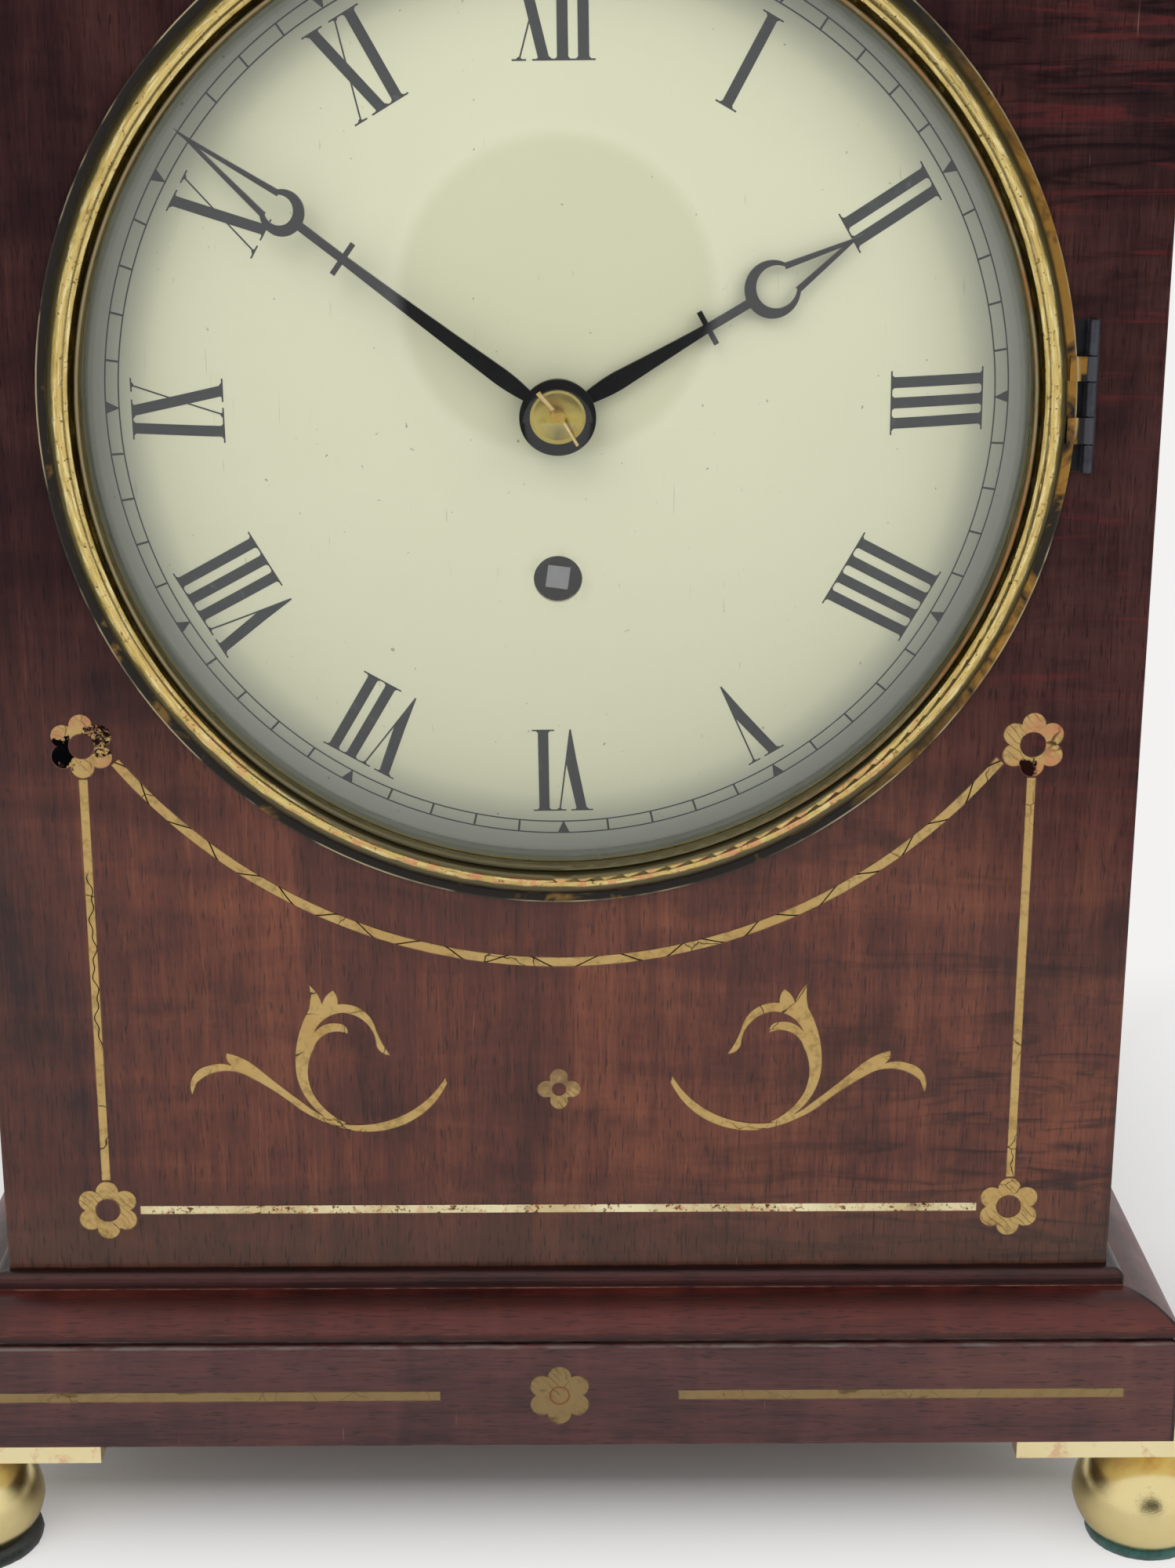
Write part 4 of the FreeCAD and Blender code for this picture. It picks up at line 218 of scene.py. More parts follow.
class Graph:
    """A tree of shader nodes, built up from named steps."""

    def __init__(self, tree):
        self.nodes = tree.nodes
        self.links = tree.links

    def feed(self, socket, value):
        """Links a socket to another one, or sets its own number or colour."""
        if isinstance(value, bpy.types.NodeSocket):
            self.links.new(value, socket)
        else:
            socket.default_value = value

    def step(self, kind, label, inputs=(), **settings):
        """A new node, its inputs fed in order or, from a dictionary, by name or number."""
        made = self.nodes.new(kind)
        made.label = label
        for key, value in settings.items():
            setattr(made, key, value)
        for key, value in dict(inputs if isinstance(inputs, dict) else enumerate(inputs)).items():
            self.feed(made.inputs[key], value)
        return made

    def maths(self, operation, first, second=0.0, third=0.0, clamp=False):
        return self.step("ShaderNodeMath", operation.lower(), (first, second, third),
                         operation=operation, use_clamp=clamp).outputs[0]

    def times(self, *factors):
        """The product of shares, such as masks that have to meet."""
        product = factors[0]
        for factor in factors[1:]:
            product = self.maths("MULTIPLY", product, factor)
        return product

    def times_plus(self, value, factor, more):
        return self.maths("MULTIPLY_ADD", value, factor, more)

    def minus(self, first, second):
        return self.maths("SUBTRACT", first, second)

    def off(self, value, middle):
        """How far a value lies from a middle, to either side."""
        return self.maths("ABSOLUTE", self.minus(value, middle))

    def largest(self, *values):
        most = values[0]
        for value in values[1:]:
            most = self.maths("MAXIMUM", most, value)
        return most

    def between(self, value, low, high, to_low=0.0, to_high=1.0):
        """0 below low and 1 above high, with an even slope between them."""
        return self.step("ShaderNodeMapRange", "from %g to %g" % (low, high),
                         (value, low, high, to_low, to_high)).outputs[0]

    def shades(self, label, value, stops):
        """Colours spread along a value, each stop a place and a colour."""
        made = self.step("ShaderNodeValToRGB", label, (value,))
        bar = made.color_ramp.elements
        while len(bar) < len(stops):
            bar.new(0.5)
        for element, (spot, colour) in zip(bar, stops):
            element.position = spot
            element.color = with_alpha(colour)
        return made.outputs["Color"]

    def axes(self, source):
        return tuple(self.step("ShaderNodeSeparateXYZ", "axes", (source,)).outputs)

    def rays(self, *kinds):
        """1 for rays of the given kinds, 0 for all others."""
        paths = self.step("ShaderNodeLightPath", "light path")
        return self.largest(*[paths.outputs["Is %s Ray" % kind] for kind in kinds])

    def either(self, label, share, first, second):
        """One shader or the other, by a share."""
        return self.step("ShaderNodeMixShader", label,
                         (share, first.outputs[0], second.outputs[0]))


class Finish(Graph):
    """One material, built up from named steps of its finish."""

    def __init__(self, name):
        self.material = bpy.data.materials.new(name)
        self.material.use_nodes = True
        super().__init__(self.material.node_tree)
        self.shader = self.nodes["Principled BSDF"]
        self.output = self.nodes["Material Output"]
        self.place = self.step("ShaderNodeTexCoord", "place on the clock").outputs["Object"]

    def set(self, **values):
        """Sets the shader's sockets: Base_Color=..., Roughness=..."""
        for key, value in values.items():
            self.feed(self.shader.inputs[key.replace("_", " ")], with_alpha(value))

    def show_instead(self, label, share, other):
        """Shows another shader in place of the main one, by a share."""
        mixed = self.either(label, share, self.shader, other)
        self.links.new(mixed.outputs[0], self.output.inputs["Surface"])

    def far_white(self):
        return self.step("ShaderNodeEmission", "far white", {
            "Color": with_alpha(linear(*FAR_WHITE)), "Strength": 1.0})

    def cloud(self, label, vector, scale, detail=3.0, rough=0.6, warp=0.0):
        """Soft uneven patches, from 0 to 1."""
        return self.step("ShaderNodeTexNoise", label, {
            "Vector": vector, "Scale": scale, "Detail": detail, "Roughness": rough,
            "Distortion": warp}).outputs["Fac"]

    def streaks(self, label, scales, source=None, detail=3.0, rough=0.6, warp=0.0, turn=(0, 0, 0)):
        """Uneven patches with a scale for each axis, so that they run long where it is low."""
        drawn = self.step("ShaderNodeMapping", "stretch", {
            "Vector": source or self.place, "Rotation": turn, "Scale": scales}).outputs[0]
        return self.cloud(label, drawn, 1.0, detail, rough, warp)

    def coat(self, label, share, under, over, mode="MIX"):
        """One colour laid over another by a share from 0 to 1."""
        return self.step("ShaderNodeMix", label, {
            "Factor": share, 6: with_alpha(under), 7: with_alpha(over)},
            data_type="RGBA", blend_type=mode).outputs[2]

    def tinted(self, label, share, colour, tint):
        """A colour that takes a tint by a share."""
        return self.coat(label, share, colour, self.coat(label, 1.0, colour, tint, "MULTIPLY"))

    def speckled(self, label, under, over, noise, spread, mask=None):
        """A colour in ragged spots over another.

        The noise is its scale, then its detail, roughness and warp where they are given. The
        spread is the noise where the spots begin and where they are full, and, where that isn't
        0 and 1, their share at each.
        """
        share = self.between(self.cloud(label, self.place, *noise), *spread)
        if mask is not None:
            share = self.times(mask, share)
        return self.coat(label, share, under, over)

    def axes(self, source=None):
        return super().axes(source or self.place)

    def combined(self, x, y, z):
        return self.step("ShaderNodeCombineXYZ", "combine", (x, y, z)).outputs[0]

    def radius_from(self, x_at, z_at):
        """Distance in the plane of the clock's face from a point."""
        x, _, z = self.axes()
        dx = self.minus(x, x_at)
        dz = self.minus(z, z_at)
        return self.maths("SQRT", self.maths("ADD", self.times(dx, dx), self.times(dz, dz)))

    def patch(self, x_at, z_at, reach, ragged=0.05):
        """1 inside a ragged patch round a point of the face, 0 outside."""
        edge = self.minus(self.cloud("ragged edge", self.place, 420.0, 4.0, 0.7), 0.5)
        bent = self.maths("ADD", self.radius_from(x_at, z_at), self.times(edge, reach * ragged * 4))
        return self.between(bent, reach * 0.92, reach * 1.05, 1.0, 0.0)

    def relief(self, height, distance, strength, under=None):
        inputs = {"Strength": strength, "Distance": distance, "Height": height}
        if under is not None:
            inputs["Normal"] = under
        return self.step("ShaderNodeBump", "relief", inputs).outputs["Normal"]

    def eased_edge(self, radius):
        return self.step("ShaderNodeBevel", "eased edge", {"Radius": radius}, samples=4).outputs[0]

    def edge_wear(self, eased, low, high):
        """1 on eased edges, 0 on flat faces."""
        flat = self.step("ShaderNodeNewGeometry", "flat face").outputs["Normal"]
        turned = self.step("ShaderNodeVectorMath", "edge", (eased, flat), operation="DOT_PRODUCT")
        return self.between(turned.outputs["Value"], low, high, 1.0, 0.0)


def dress(finish, *nodes):
    """Gives a finish to nodes of the frame."""
    for name in nodes:
        node = NODES[name]
        if not node.material_slots:
            node.data.materials.append(finish.material)
        for material_slot in node.material_slots:
            material_slot.material = finish.material


def mesh_object(name, verts, faces, finish, smooth):
    """A new object in the scene, made from points and faces in metres."""
    mesh = bpy.data.meshes.new(name)
    mesh.from_pydata([tuple(v) for v in verts], [], faces)
    if smooth:
        mesh.shade_smooth()
    mesh.materials.append(finish.material)
    made = bpy.data.objects.new(name, mesh)
    bpy.context.scene.collection.objects.link(made)
    return made


def add_piece(name, verts, faces, finish, body, smooth=False):
    """A new piece of the clock."""
    made = mesh_object(name, verts, faces, finish, smooth)
    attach(made, body)
    return made


# ---- wood ----
def outside_and_front(finish):
    """How far a place lies outside the case's sides, and in front of its face."""
    x, y, _ = finish.axes()
    return finish.minus(finish.maths("ABSOLUTE", x), CASE_HALF_W), finish.minus(FACE_Y, y)


def grain_axes(finish, along):
    """The place on the clock with the grain turned to run along its third axis."""
    if along == "UP":
        return finish.place
    x, y, z = finish.axes()
    across = finish.combined(z, y, x)
    if along == "ACROSS":
        return across
    outside, front = outside_and_front(finish)
    level = finish.largest(front, finish.minus(y, FACE_Y + CASE_DEPTH))
    return finish.step("ShaderNodeMix", "choose", {
        "Factor": finish.maths("GREATER_THAN", level, outside),
        4: finish.combined(x, z, y), 5: across}, data_type="VECTOR").outputs[1]


def rippled(finish, colour, grain, strength):
    """Dark ripples across the grain in some places, more of them to the right."""
    x, _, _ = finish.axes()
    flame = finish.streaks("ripple", (30, 30, 200), grain, warp=1.3)
    where = finish.streaks("where it ripples", (9, 9, 7), grain, 2.0, 0.5)
    share = finish.times(finish.between(where, 0.36, 0.58),
                         finish.between(x, -0.02, 0.105, 0.12, 1.0), strength)
    bands = finish.shades("ripple colours", flame, [
        (0.36, (0.30, 0.28, 0.32, 1)), (0.50, (0.95, 0.95, 0.95, 1)), (0.66, WHITE)])
    return finish.tinted("ripple", share, colour, bands)


def darkened_above(finish, colour, grain):
    """Painted shade darkening the wood round the dial, above and to the right; red streaks at its right,
    and a browner foot.
    """
    x, _, z = finish.axes()
    raised = finish.times_plus(finish.between(x, 0.07, 0.11), 0.034, z)
    upper = finish.between(raised, DIAL_Z - 0.095, DIAL_Z - 0.035)
    # Painted shade: a purple-grey tint darkens the wood upwards from below the dial, and reaches lower
    # at the right side.
    colour = finish.tinted("painted shade above", upper, colour, (0.36, 0.46, 0.80, 1))
    glow = finish.streaks("red streaks", (22, 22, 340), grain, warp=0.9)
    share = finish.times(finish.between(glow, 0.56, 0.68, 0.0, 0.5), finish.between(x, 0.06, 0.10),
                         upper)
    colour = finish.coat("red streaks", share, colour, linear(92, 34, 36))
    foot = finish.between(z, CASE_FOOT_Z + 0.006, CASE_FOOT_Z + 0.022, 0.55, 0.0)
    return finish.coat("browner foot", foot, colour, linear(66, 48, 37)), upper


def moulded_shade(finish, colour, tone):
    """Painted shade in the hollows of the base moulding with a painted dark reflection on its upper
    face, and a painted highlight along the top edge of the plinth under it.
    """
    _, _, z = finish.axes()
    ragged = finish.times_plus(finish.minus(tone, 0.75), 0.0022, z)
    level = finish.between(ragged, MOULD_FOOT_Z, CASE_FOOT_Z + 0.0005)
    # Painted shade: near black in the quirk, along the fillet and at the joint under the case; a painted
    # dark reflection across the ovolo's upper face.
    hollows = finish.shades("hollows", level, [
        (0.00, WHITE), (0.02, (0.10, 0.09, 0.10, 1)), (0.10, (0.12, 0.10, 0.12, 1)),
        (0.16, (0.45, 0.40, 0.42, 1)), (0.30, WHITE), (0.48, (0.95, 0.90, 0.90, 1)),
        (0.62, (0.38, 0.34, 0.38, 1)), (0.67, (0.80, 0.75, 0.78, 1)), (0.73, (0.16, 0.15, 0.17, 1)),
        (0.80, (0.52, 0.60, 0.78, 1)), (0.92, (0.55, 0.62, 0.80, 1)), (0.965, (0.08, 0.08, 0.09, 1)),
        (0.99, (0.08, 0.08, 0.09, 1)), (1.00, WHITE)])
    colour = finish.coat("hollows", 1.0, colour, hollows, "MULTIPLY")
    # Painted highlight: a pale grey line along the plinth's rounded top edge, broken up by noise.
    rim = finish.between(finish.off(z, MOULD_FOOT_Z - 0.0005), 0.0001, 0.0005, 1.0, 0.0)
    rubbed = finish.streaks("painted rim highlight", (90, 90, 500), None, 4.0, 0.65)
    share = finish.times(rim, finish.between(rubbed, 0.44, 0.62, 0.05, 0.6))
    return finish.coat("painted rim highlight", share, colour, linear(112, 104, 98))


def mitre_joints(finish, colour):
    """The dark lines of the mitres at the front corners, the right one opened a little."""
    x, y, _ = finish.axes()
    off = finish.off(*outside_and_front(finish))
    joint = finish.between(finish.times(off, finish.between(x, -0.01, 0.01, 2.2, 1.0)),
                           0.0004, 0.0011, 1.0, 0.0)
    share = finish.times(joint, finish.between(x, -0.01, 0.01, 0.55, 0.95),
                         finish.between(y, -0.02, 0.0, 1.0, 0.0))
    return finish.coat("mitre joint", share, colour, linear(14, 8, 8))


def mahogany(name, wood, along, ripple=0.0, stain=None, stain_share=0.0, shine=0.12, rough=0.36,
             darkened=False):
    """French-polished mahogany with pores, streaks and a rippled figure."""
    finish = Finish(name)
    grain = grain_axes(finish, along)
    figure = finish.streaks("broad figure", (26, 26, 5), grain, 4.0, 0.6, 1.2)
    streak = finish.streaks("streaks", (420, 420, 22), grain, 4.0, 0.65, 0.4)
    fine = finish.streaks("fine streaks", (1700, 1700, 90), grain, 2.0)
    mottle = finish.streaks("mottle", (20, 20, 75), grain, warp=0.8)
    pores = finish.between(finish.streaks("pores", (2100, 2100, 230), grain, 1.0, 0.5), 0.60, 0.69)
    tone = finish.times(figure, 0.62)
    for layer, share in ((streak, 0.30), (fine, 0.24), (mottle, 0.34)):
        tone = finish.times_plus(layer, share, tone)
    colour = finish.shades("grain colours", tone, [
        (0.53, wood.dark), (0.74, wood.middle), (0.96, wood.light)])
    smudge = finish.streaks("dark smudges", (34, 34, 40), grain, 4.0, 0.6, 0.8)
    colour = finish.tinted("dark smudges", finish.between(smudge, 0.54, 0.70, 0.0, 0.6), colour,
                           (0.42, 0.42, 0.46, 1))
    if stain is not None:
        colour = finish.coat("stain", stain_share, colour, stain)
        shade = finish.shades("streaks in the stain", tone, [
            (0.56, (0.30, 0.27, 0.30, 1)), (0.76, (0.85, 0.83, 0.84, 1)), (0.92, WHITE)])
        colour = finish.coat("stained streaks", 1.0, colour, shade, "MULTIPLY")
    if ripple:
        colour = rippled(finish, colour, grain, ripple)
    if darkened:
        colour, upper = darkened_above(finish, colour, grain)
    colour = finish.coat("pores", finish.times(pores, 0.55), colour, scaled_colour(wood.dark, 0.35))
    nicks = finish.streaks("scratches", (1300, 1300, 70), None, 1.0, 0.5, 0.6, (0, 0.9, 0))
    colour = finish.coat("scratches", finish.between(nicks, 0.80, 0.84, 0.0, 0.4), colour,
                         linear(140, 104, 90))
    if along == "ROUND":
        colour = mitre_joints(finish, moulded_shade(finish, colour, tone))
    eased = finish.eased_edge(wood.edge_round)
    colour = finish.speckled("worn edges", colour, linear(150, 108, 84), (160.0,),
                             (0.42, 0.62, 0.0, 0.75), finish.edge_wear(eased, 0.80, 0.985))
    smear = finish.cloud("hand marks", finish.place, 34.0)
    wave = finish.cloud("polish waves", finish.place, 60.0, 2.0, 0.5)
    height = finish.times_plus(pores, -1.0, finish.times(fine, 0.4))
    finish.set(Base_Color=colour,
               Roughness=finish.between(smear, 0.3, 0.7, rough - 0.07, rough + 0.08),
               Normal=finish.relief(height, 0.00006, 0.55, eased), Specular_IOR_Level=0.36,
               Coat_Weight=shine, Coat_Roughness=0.14,
               Coat_Normal=finish.relief(wave, 0.00012, 0.35, eased))
    if darkened:
        finish.set(Specular_IOR_Level=finish.between(upper, 0.0, 1.0, 0.36, 0.10),
                   Coat_Weight=finish.between(upper, 0.0, 1.0, shine, 0.02))
    return finish


def plain_boards(name, wood):
    """Unpolished inner wood, dusty and paler."""
    finish = Finish(name)
    grain = grain_axes(finish, "ACROSS")
    streak = finish.streaks("streaks", (260, 260, 9), grain, 4.0, 0.65, 0.3)
    fine = finish.streaks("fine grain", (1400, 1400, 50), grain, 2.0)
    tone = finish.times_plus(fine, 0.35, finish.times(streak, 0.7))
    colour = finish.shades("board colours", tone, [
        (0.35, scaled_colour(wood.carcass, 0.45)), (0.60, wood.carcass),
        (0.80, scaled_colour(wood.carcass, 1.35))])
    colour = finish.speckled("dust", colour, linear(150, 138, 120), (70.0,), (0.45, 0.8, 0.0, 0.25))
    finish.set(Base_Color=colour, Roughness=0.72, Normal=finish.relief(tone, 0.0002, 0.5))
    return finish


# ---- metal ----
def brushed(finish, colour, tarnish, film, rough, patch_scale=90.0, scratch=0.25, lay=(1, 1, 1)):
    """Metal with a tarnish film in patches, a fine scratched surface and uneven polish."""
    patches = finish.cloud("tarnish patches", finish.place, patch_scale, 5.0, 0.68, 0.4)
    mask = finish.between(patches, 0.70 - 0.30 * film, 0.86 - 0.24 * film)
    specks = finish.between(finish.cloud("specks", finish.place, patch_scale * 14), 0.66, 0.74)
    warm = finish.cloud("warm patches", finish.place, patch_scale * 0.6)
    base = finish.tinted("warmer patches", finish.between(warm, 0.4, 0.7, 0.0, 0.35), colour,
                         (0.86, 0.70, 0.52, 1))
    base = finish.coat("film", finish.times(mask, min(1.0, 0.35 + film)), base, tarnish)
    base = finish.coat("specks", finish.times(specks, 0.5 * film), base, tarnish)
    lines = finish.streaks("scratches", [2600 * part for part in lay], None, 2.0)
    worn = finish.cloud("polish", finish.place, patch_scale * 2.2)
    gloss = finish.between(worn, 0.3, 0.7, rough * 0.75, rough * 1.3)
    height = finish.times_plus(specks, -0.6, lines)
    finish.set(Base_Color=base, Metallic=finish.times_plus(mask, -0.45 * film, 1.0),
               Roughness=finish.times_plus(mask, 0.28, gloss),
               Normal=finish.relief(height, 0.00003, scratch))
    return base


def plain_metal(name, colour, tarnish, film, rough, *surface):
    finish = Finish(name)
    brushed(finish, colour, tarnish, film, rough, *surface)
    return finish


def inlay_brass(name, metal, film):
    """Flush brass that has gone dull, with thin dark cracks and dirt along its edges."""
    finish = Finish(name)
    base = brushed(finish, metal.inlay, metal.tarnish, film, 0.40, 130.0, 0.35)
    base = finish.speckled("grime", base, linear(128, 104, 62), (420.0, 4.0, 0.7),
                           (0.50, 0.66, 0.0, 0.45))
    wobble = finish.step("ShaderNodeTexNoise", "wobble", {"Vector": finish.place, "Scale": 220.0})
    bent = finish.step("ShaderNodeVectorMath", "bent", (
        wobble.outputs["Color"], (0.004, 0.004, 0.004), finish.place), operation="MULTIPLY_ADD")
    cells = finish.step("ShaderNodeTexVoronoi", "cracks", {
        "Vector": bent.outputs[0], "Scale": 105.0}, feature="DISTANCE_TO_EDGE")
    crack = finish.between(cells.outputs["Distance"], 0.006, 0.016, 1.0, 0.0)
    base = finish.speckled("cracks", base, linear(30, 20, 16), (60.0, 2.0, 0.5),
                           (0.48, 0.54, 0.0, 0.85), crack)
    _, _, z = finish.axes()
    dull = finish.between(z, MOULD_FOOT_Z - 0.001, MOULD_FOOT_Z, 0.80, 0.0)
    spots = finish.streaks("dull spots", (70, 70, 240))
    olive = finish.coat("dull spots", finish.between(spots, 0.60, 0.66, 0.0, 0.8), linear(136, 116, 84),
                        linear(60, 48, 36))
    base = finish.coat("dulled on the plinth", dull, base, olive)
    rim = finish.edge_wear(finish.eased_edge(0.00030), 0.74, 0.98)
    base = finish.coat("dirt along the edge", finish.times(rim, 0.9), base, linear(40, 26, 20))
    finish.set(Base_Color=base)
    return finish, base


def angle_round_dial(finish):
    x, _, z = finish.axes()
    return finish.maths("ARCTAN2", x, finish.minus(DIAL_Z, z))


def swag_finish(metal):
    """The swag's band, with the long waving cuts that make it look twisted."""
    finish, base = inlay_brass("inlay_brass_swag", metal, 0.20)
    along = finish.times(angle_round_dial(finish), SWAG_R)
    across = finish.maths("DIVIDE", finish.minus(finish.radius_from(0.0, DIAL_Z), SWAG_R),
                          SWAG_HALF_W)
    wander = finish.cloud("uneven spacing", finish.place, 34.0, 1.0, 0.5)
    lead = finish.times_plus(wander, 0.009, along)
    wave = finish.maths("SINE", finish.times(lead, 2 * math.pi / SWAG_TWIST))
    cut = finish.between(finish.off(across, finish.times(wave, 1.5)), 0.09, 0.22, 1.0, 0.0)
    finish.set(Base_Color=finish.coat("cuts", cut, base, linear(24, 15, 12)))
    return finish


def line_finish(metal):
    """The straight lines: the low one brighter and speckled, the left one cracked in the middle."""
    finish, base = inlay_brass("inlay_brass_lines", metal, 0.20)
    x, _, z = finish.axes()
    low = finish.between(finish.off(z, LOWER_FLOWER_Z), 0.0015, 0.0025, 1.0, 0.0)
    bright = finish.speckled("rubbed bright", base, linear(255, 244, 200), (55.0, 2.0, 0.5),
                             (0.36, 0.60, 0.45, 1.0))
    bright = finish.speckled("pits", bright, linear(110, 70, 34), (700.0, 4.0, 0.75), (0.56, 0.62))
    bright = finish.speckled("pink spots", bright, linear(222, 156, 116), (480.0,),
                             (0.56, 0.64, 0.0, 0.5))
    colour = finish.coat("low line", low, base, bright)
    sway = finish.times(finish.maths("SINE", finish.times(z, 570.0)), 0.00042)
    shake = finish.times(finish.maths("SINE", finish.times(z, 1390.0)), 0.0003)
    crack_at = finish.maths("ADD", finish.maths("ADD", sway, shake), -FLOWER_X + 0.0002)
    crack = finish.times(
        finish.between(finish.off(x, crack_at), 0.00007, 0.00018, 1.0, 0.0),
        finish.between(z, CRACK_TOP_Z - 0.002, CRACK_TOP_Z, 1.0, 0.0),
        finish.between(z, CRACK_FOOT_Z, CRACK_FOOT_Z + 0.002))
    colour = finish.coat("crack", crack, colour, linear(26, 16, 12))
    colour = finish.speckled("dark spots", colour, linear(80, 54, 34), (150.0,),
                             (0.68, 0.73, 0.0, 0.75))
    finish.set(Base_Color=colour)
    return finish


def flower_finish(metal):
    """The flowers: engraved petals, one flower half broken away and one with coppery petals."""
    finish, base = inlay_brass("inlay_brass_flowers", metal, 0.26)
    wave = finish.step("ShaderNodeTexWave", "engraved lines", {
        "Vector": finish.place, "Scale": 330.0, "Distortion": 4.0, "Detail": 2.0},
        wave_type="BANDS", bands_direction="DIAGONAL")
    colour = finish.speckled("engraved", base, linear(84, 56, 32), (180.0, 2.0, 0.5), (0.42, 0.60),
                             finish.between(wave.outputs["Fac"], 0.84, 0.95, 0.0, 0.5))
    colour = finish.speckled("copper", colour, linear(214, 140, 104), (150.0,),
                             (0.44, 0.58, 0.0, 0.7),
                             finish.patch(FLOWER_X, UPPER_FLOWER_Z, FLOWER_REACH))
    blot = finish.patch(FLOWER_X - 0.0010, UPPER_FLOWER_Z - 0.0052, 0.0021, 0.5)
    colour = finish.coat("blot", blot, colour, linear(40, 20, 18))
    colour = finish.speckled("coppery left", colour, linear(206, 144, 108), (150.0,),
                             (0.46, 0.60, 0.0, 0.55),
                             finish.patch(-FLOWER_X, UPPER_FLOWER_Z, FLOWER_REACH))
    colour = finish.speckled("torn petals", colour, linear(34, 22, 22), (620.0, 3.0, 0.7, 1.6),
                             (0.45, 0.52),
                             finish.patch(-FLOWER_X + 0.0044, UPPER_FLOWER_Z + 0.0016, 0.0040, 0.3))
    broken = finish.patch(-FLOWER_X - 0.0052, UPPER_FLOWER_Z - 0.0014, 0.0036, 0.75)
    colour = finish.coat("broken away", broken, colour, linear(10, 9, 12))
    colour = finish.speckled("greyed", colour, linear(128, 102, 80), (260.0,),
                             (0.35, 0.6, 0.2, 0.75), finish.patch(0.0, CENTRE_FLOWER_Z, 0.0066))
    circle = finish.between(finish.off(finish.radius_from(0.0, PLINTH_LINE_Z), 0.0021),
                            0.00014, 0.00030, 0.8, 0.0)
    colour = finish.coat("engraved ring", circle, colour, linear(140, 82, 52))
    finish.set(Base_Color=colour)
    return finish


def roll_colour(finish, colour, away, bent, low):
    """The roll: painted reflection streaks along it and painted olive shade on its flanks, pitted and
    spotted.
    """
    # Painted shade: olive on the roll's flanks, away from its crown.
    top = finish.times_plus(low, 0.0001, ROLL_TOP_R)
    olive = finish.between(finish.off(bent, top), 0.0008, 0.0018)
    colour = finish.coat("painted flank shade", finish.times(olive, 0.75), colour, linear(142, 124, 64))
    # Painted reflection: pale and brown streaks running round the roll.
    pale = finish.cloud("painted reflection streaks", finish.combined(
        finish.times(angle_round_dial(finish), 14.0), finish.times(away, 1500.0), 0.0), 1.0)
    colour = finish.coat("painted reflection streaks", finish.between(pale, 0.50, 0.66, 0.0, 0.8), colour,
                         linear(246, 232, 176))
    colour = finish.coat("painted dark reflection streaks", finish.between(pale, 0.30, 0.42, 0.65, 0.0), colour,
                         linear(104, 88, 42))
    colour = finish.speckled("pits in the roll", colour, linear(104, 62, 30), (900.0, 3.0, 0.7),
                             (0.60, 0.68, 0.0, 0.8))
    return finish.speckled("coppery spots", colour, linear(222, 150, 112), (420.0,),
                           (0.48, 0.60, 0.0, 0.75), low)


def flange_colour(finish, away):
    """The flange: black where its lacquer has burnt on, brassier by the hinge, rubbed at its edge.

    Also gives the share that is black.
    """
    x, _, _ = finish.axes()
    by_hinge = finish.between(x, 0.070, 0.092)
    black = finish.cloud("black patches", finish.place, 60.0, 4.0, 0.7, 0.6)
    kept = finish.minus(1.0, finish.times(by_hinge, finish.between(black, 0.44, 0.56, 1.0, 0.0)))
    lost = finish.times(finish.between(black, 0.34, 0.42, 0.0, 0.97), kept)
    brass = finish.coat("rim brass", by_hinge, linear(126, 98, 54), linear(168, 124, 56))
    colour = finish.coat("black rim patches", lost, brass, linear(14, 11, 10))
    edge = finish.times(finish.between(away, FLANGE_EDGE_R - 0.0002, FLANGE_EDGE_R),
                        finish.between(away, TAB_X, TAB_X + 0.00015, 1.0, 0.0))
    colour = finish.speckled("rubbed edge", colour, linear(186, 172, 134), (48.0,),
                             (0.46, 0.58, 0.05, 0.85), edge)
    return colour, lost


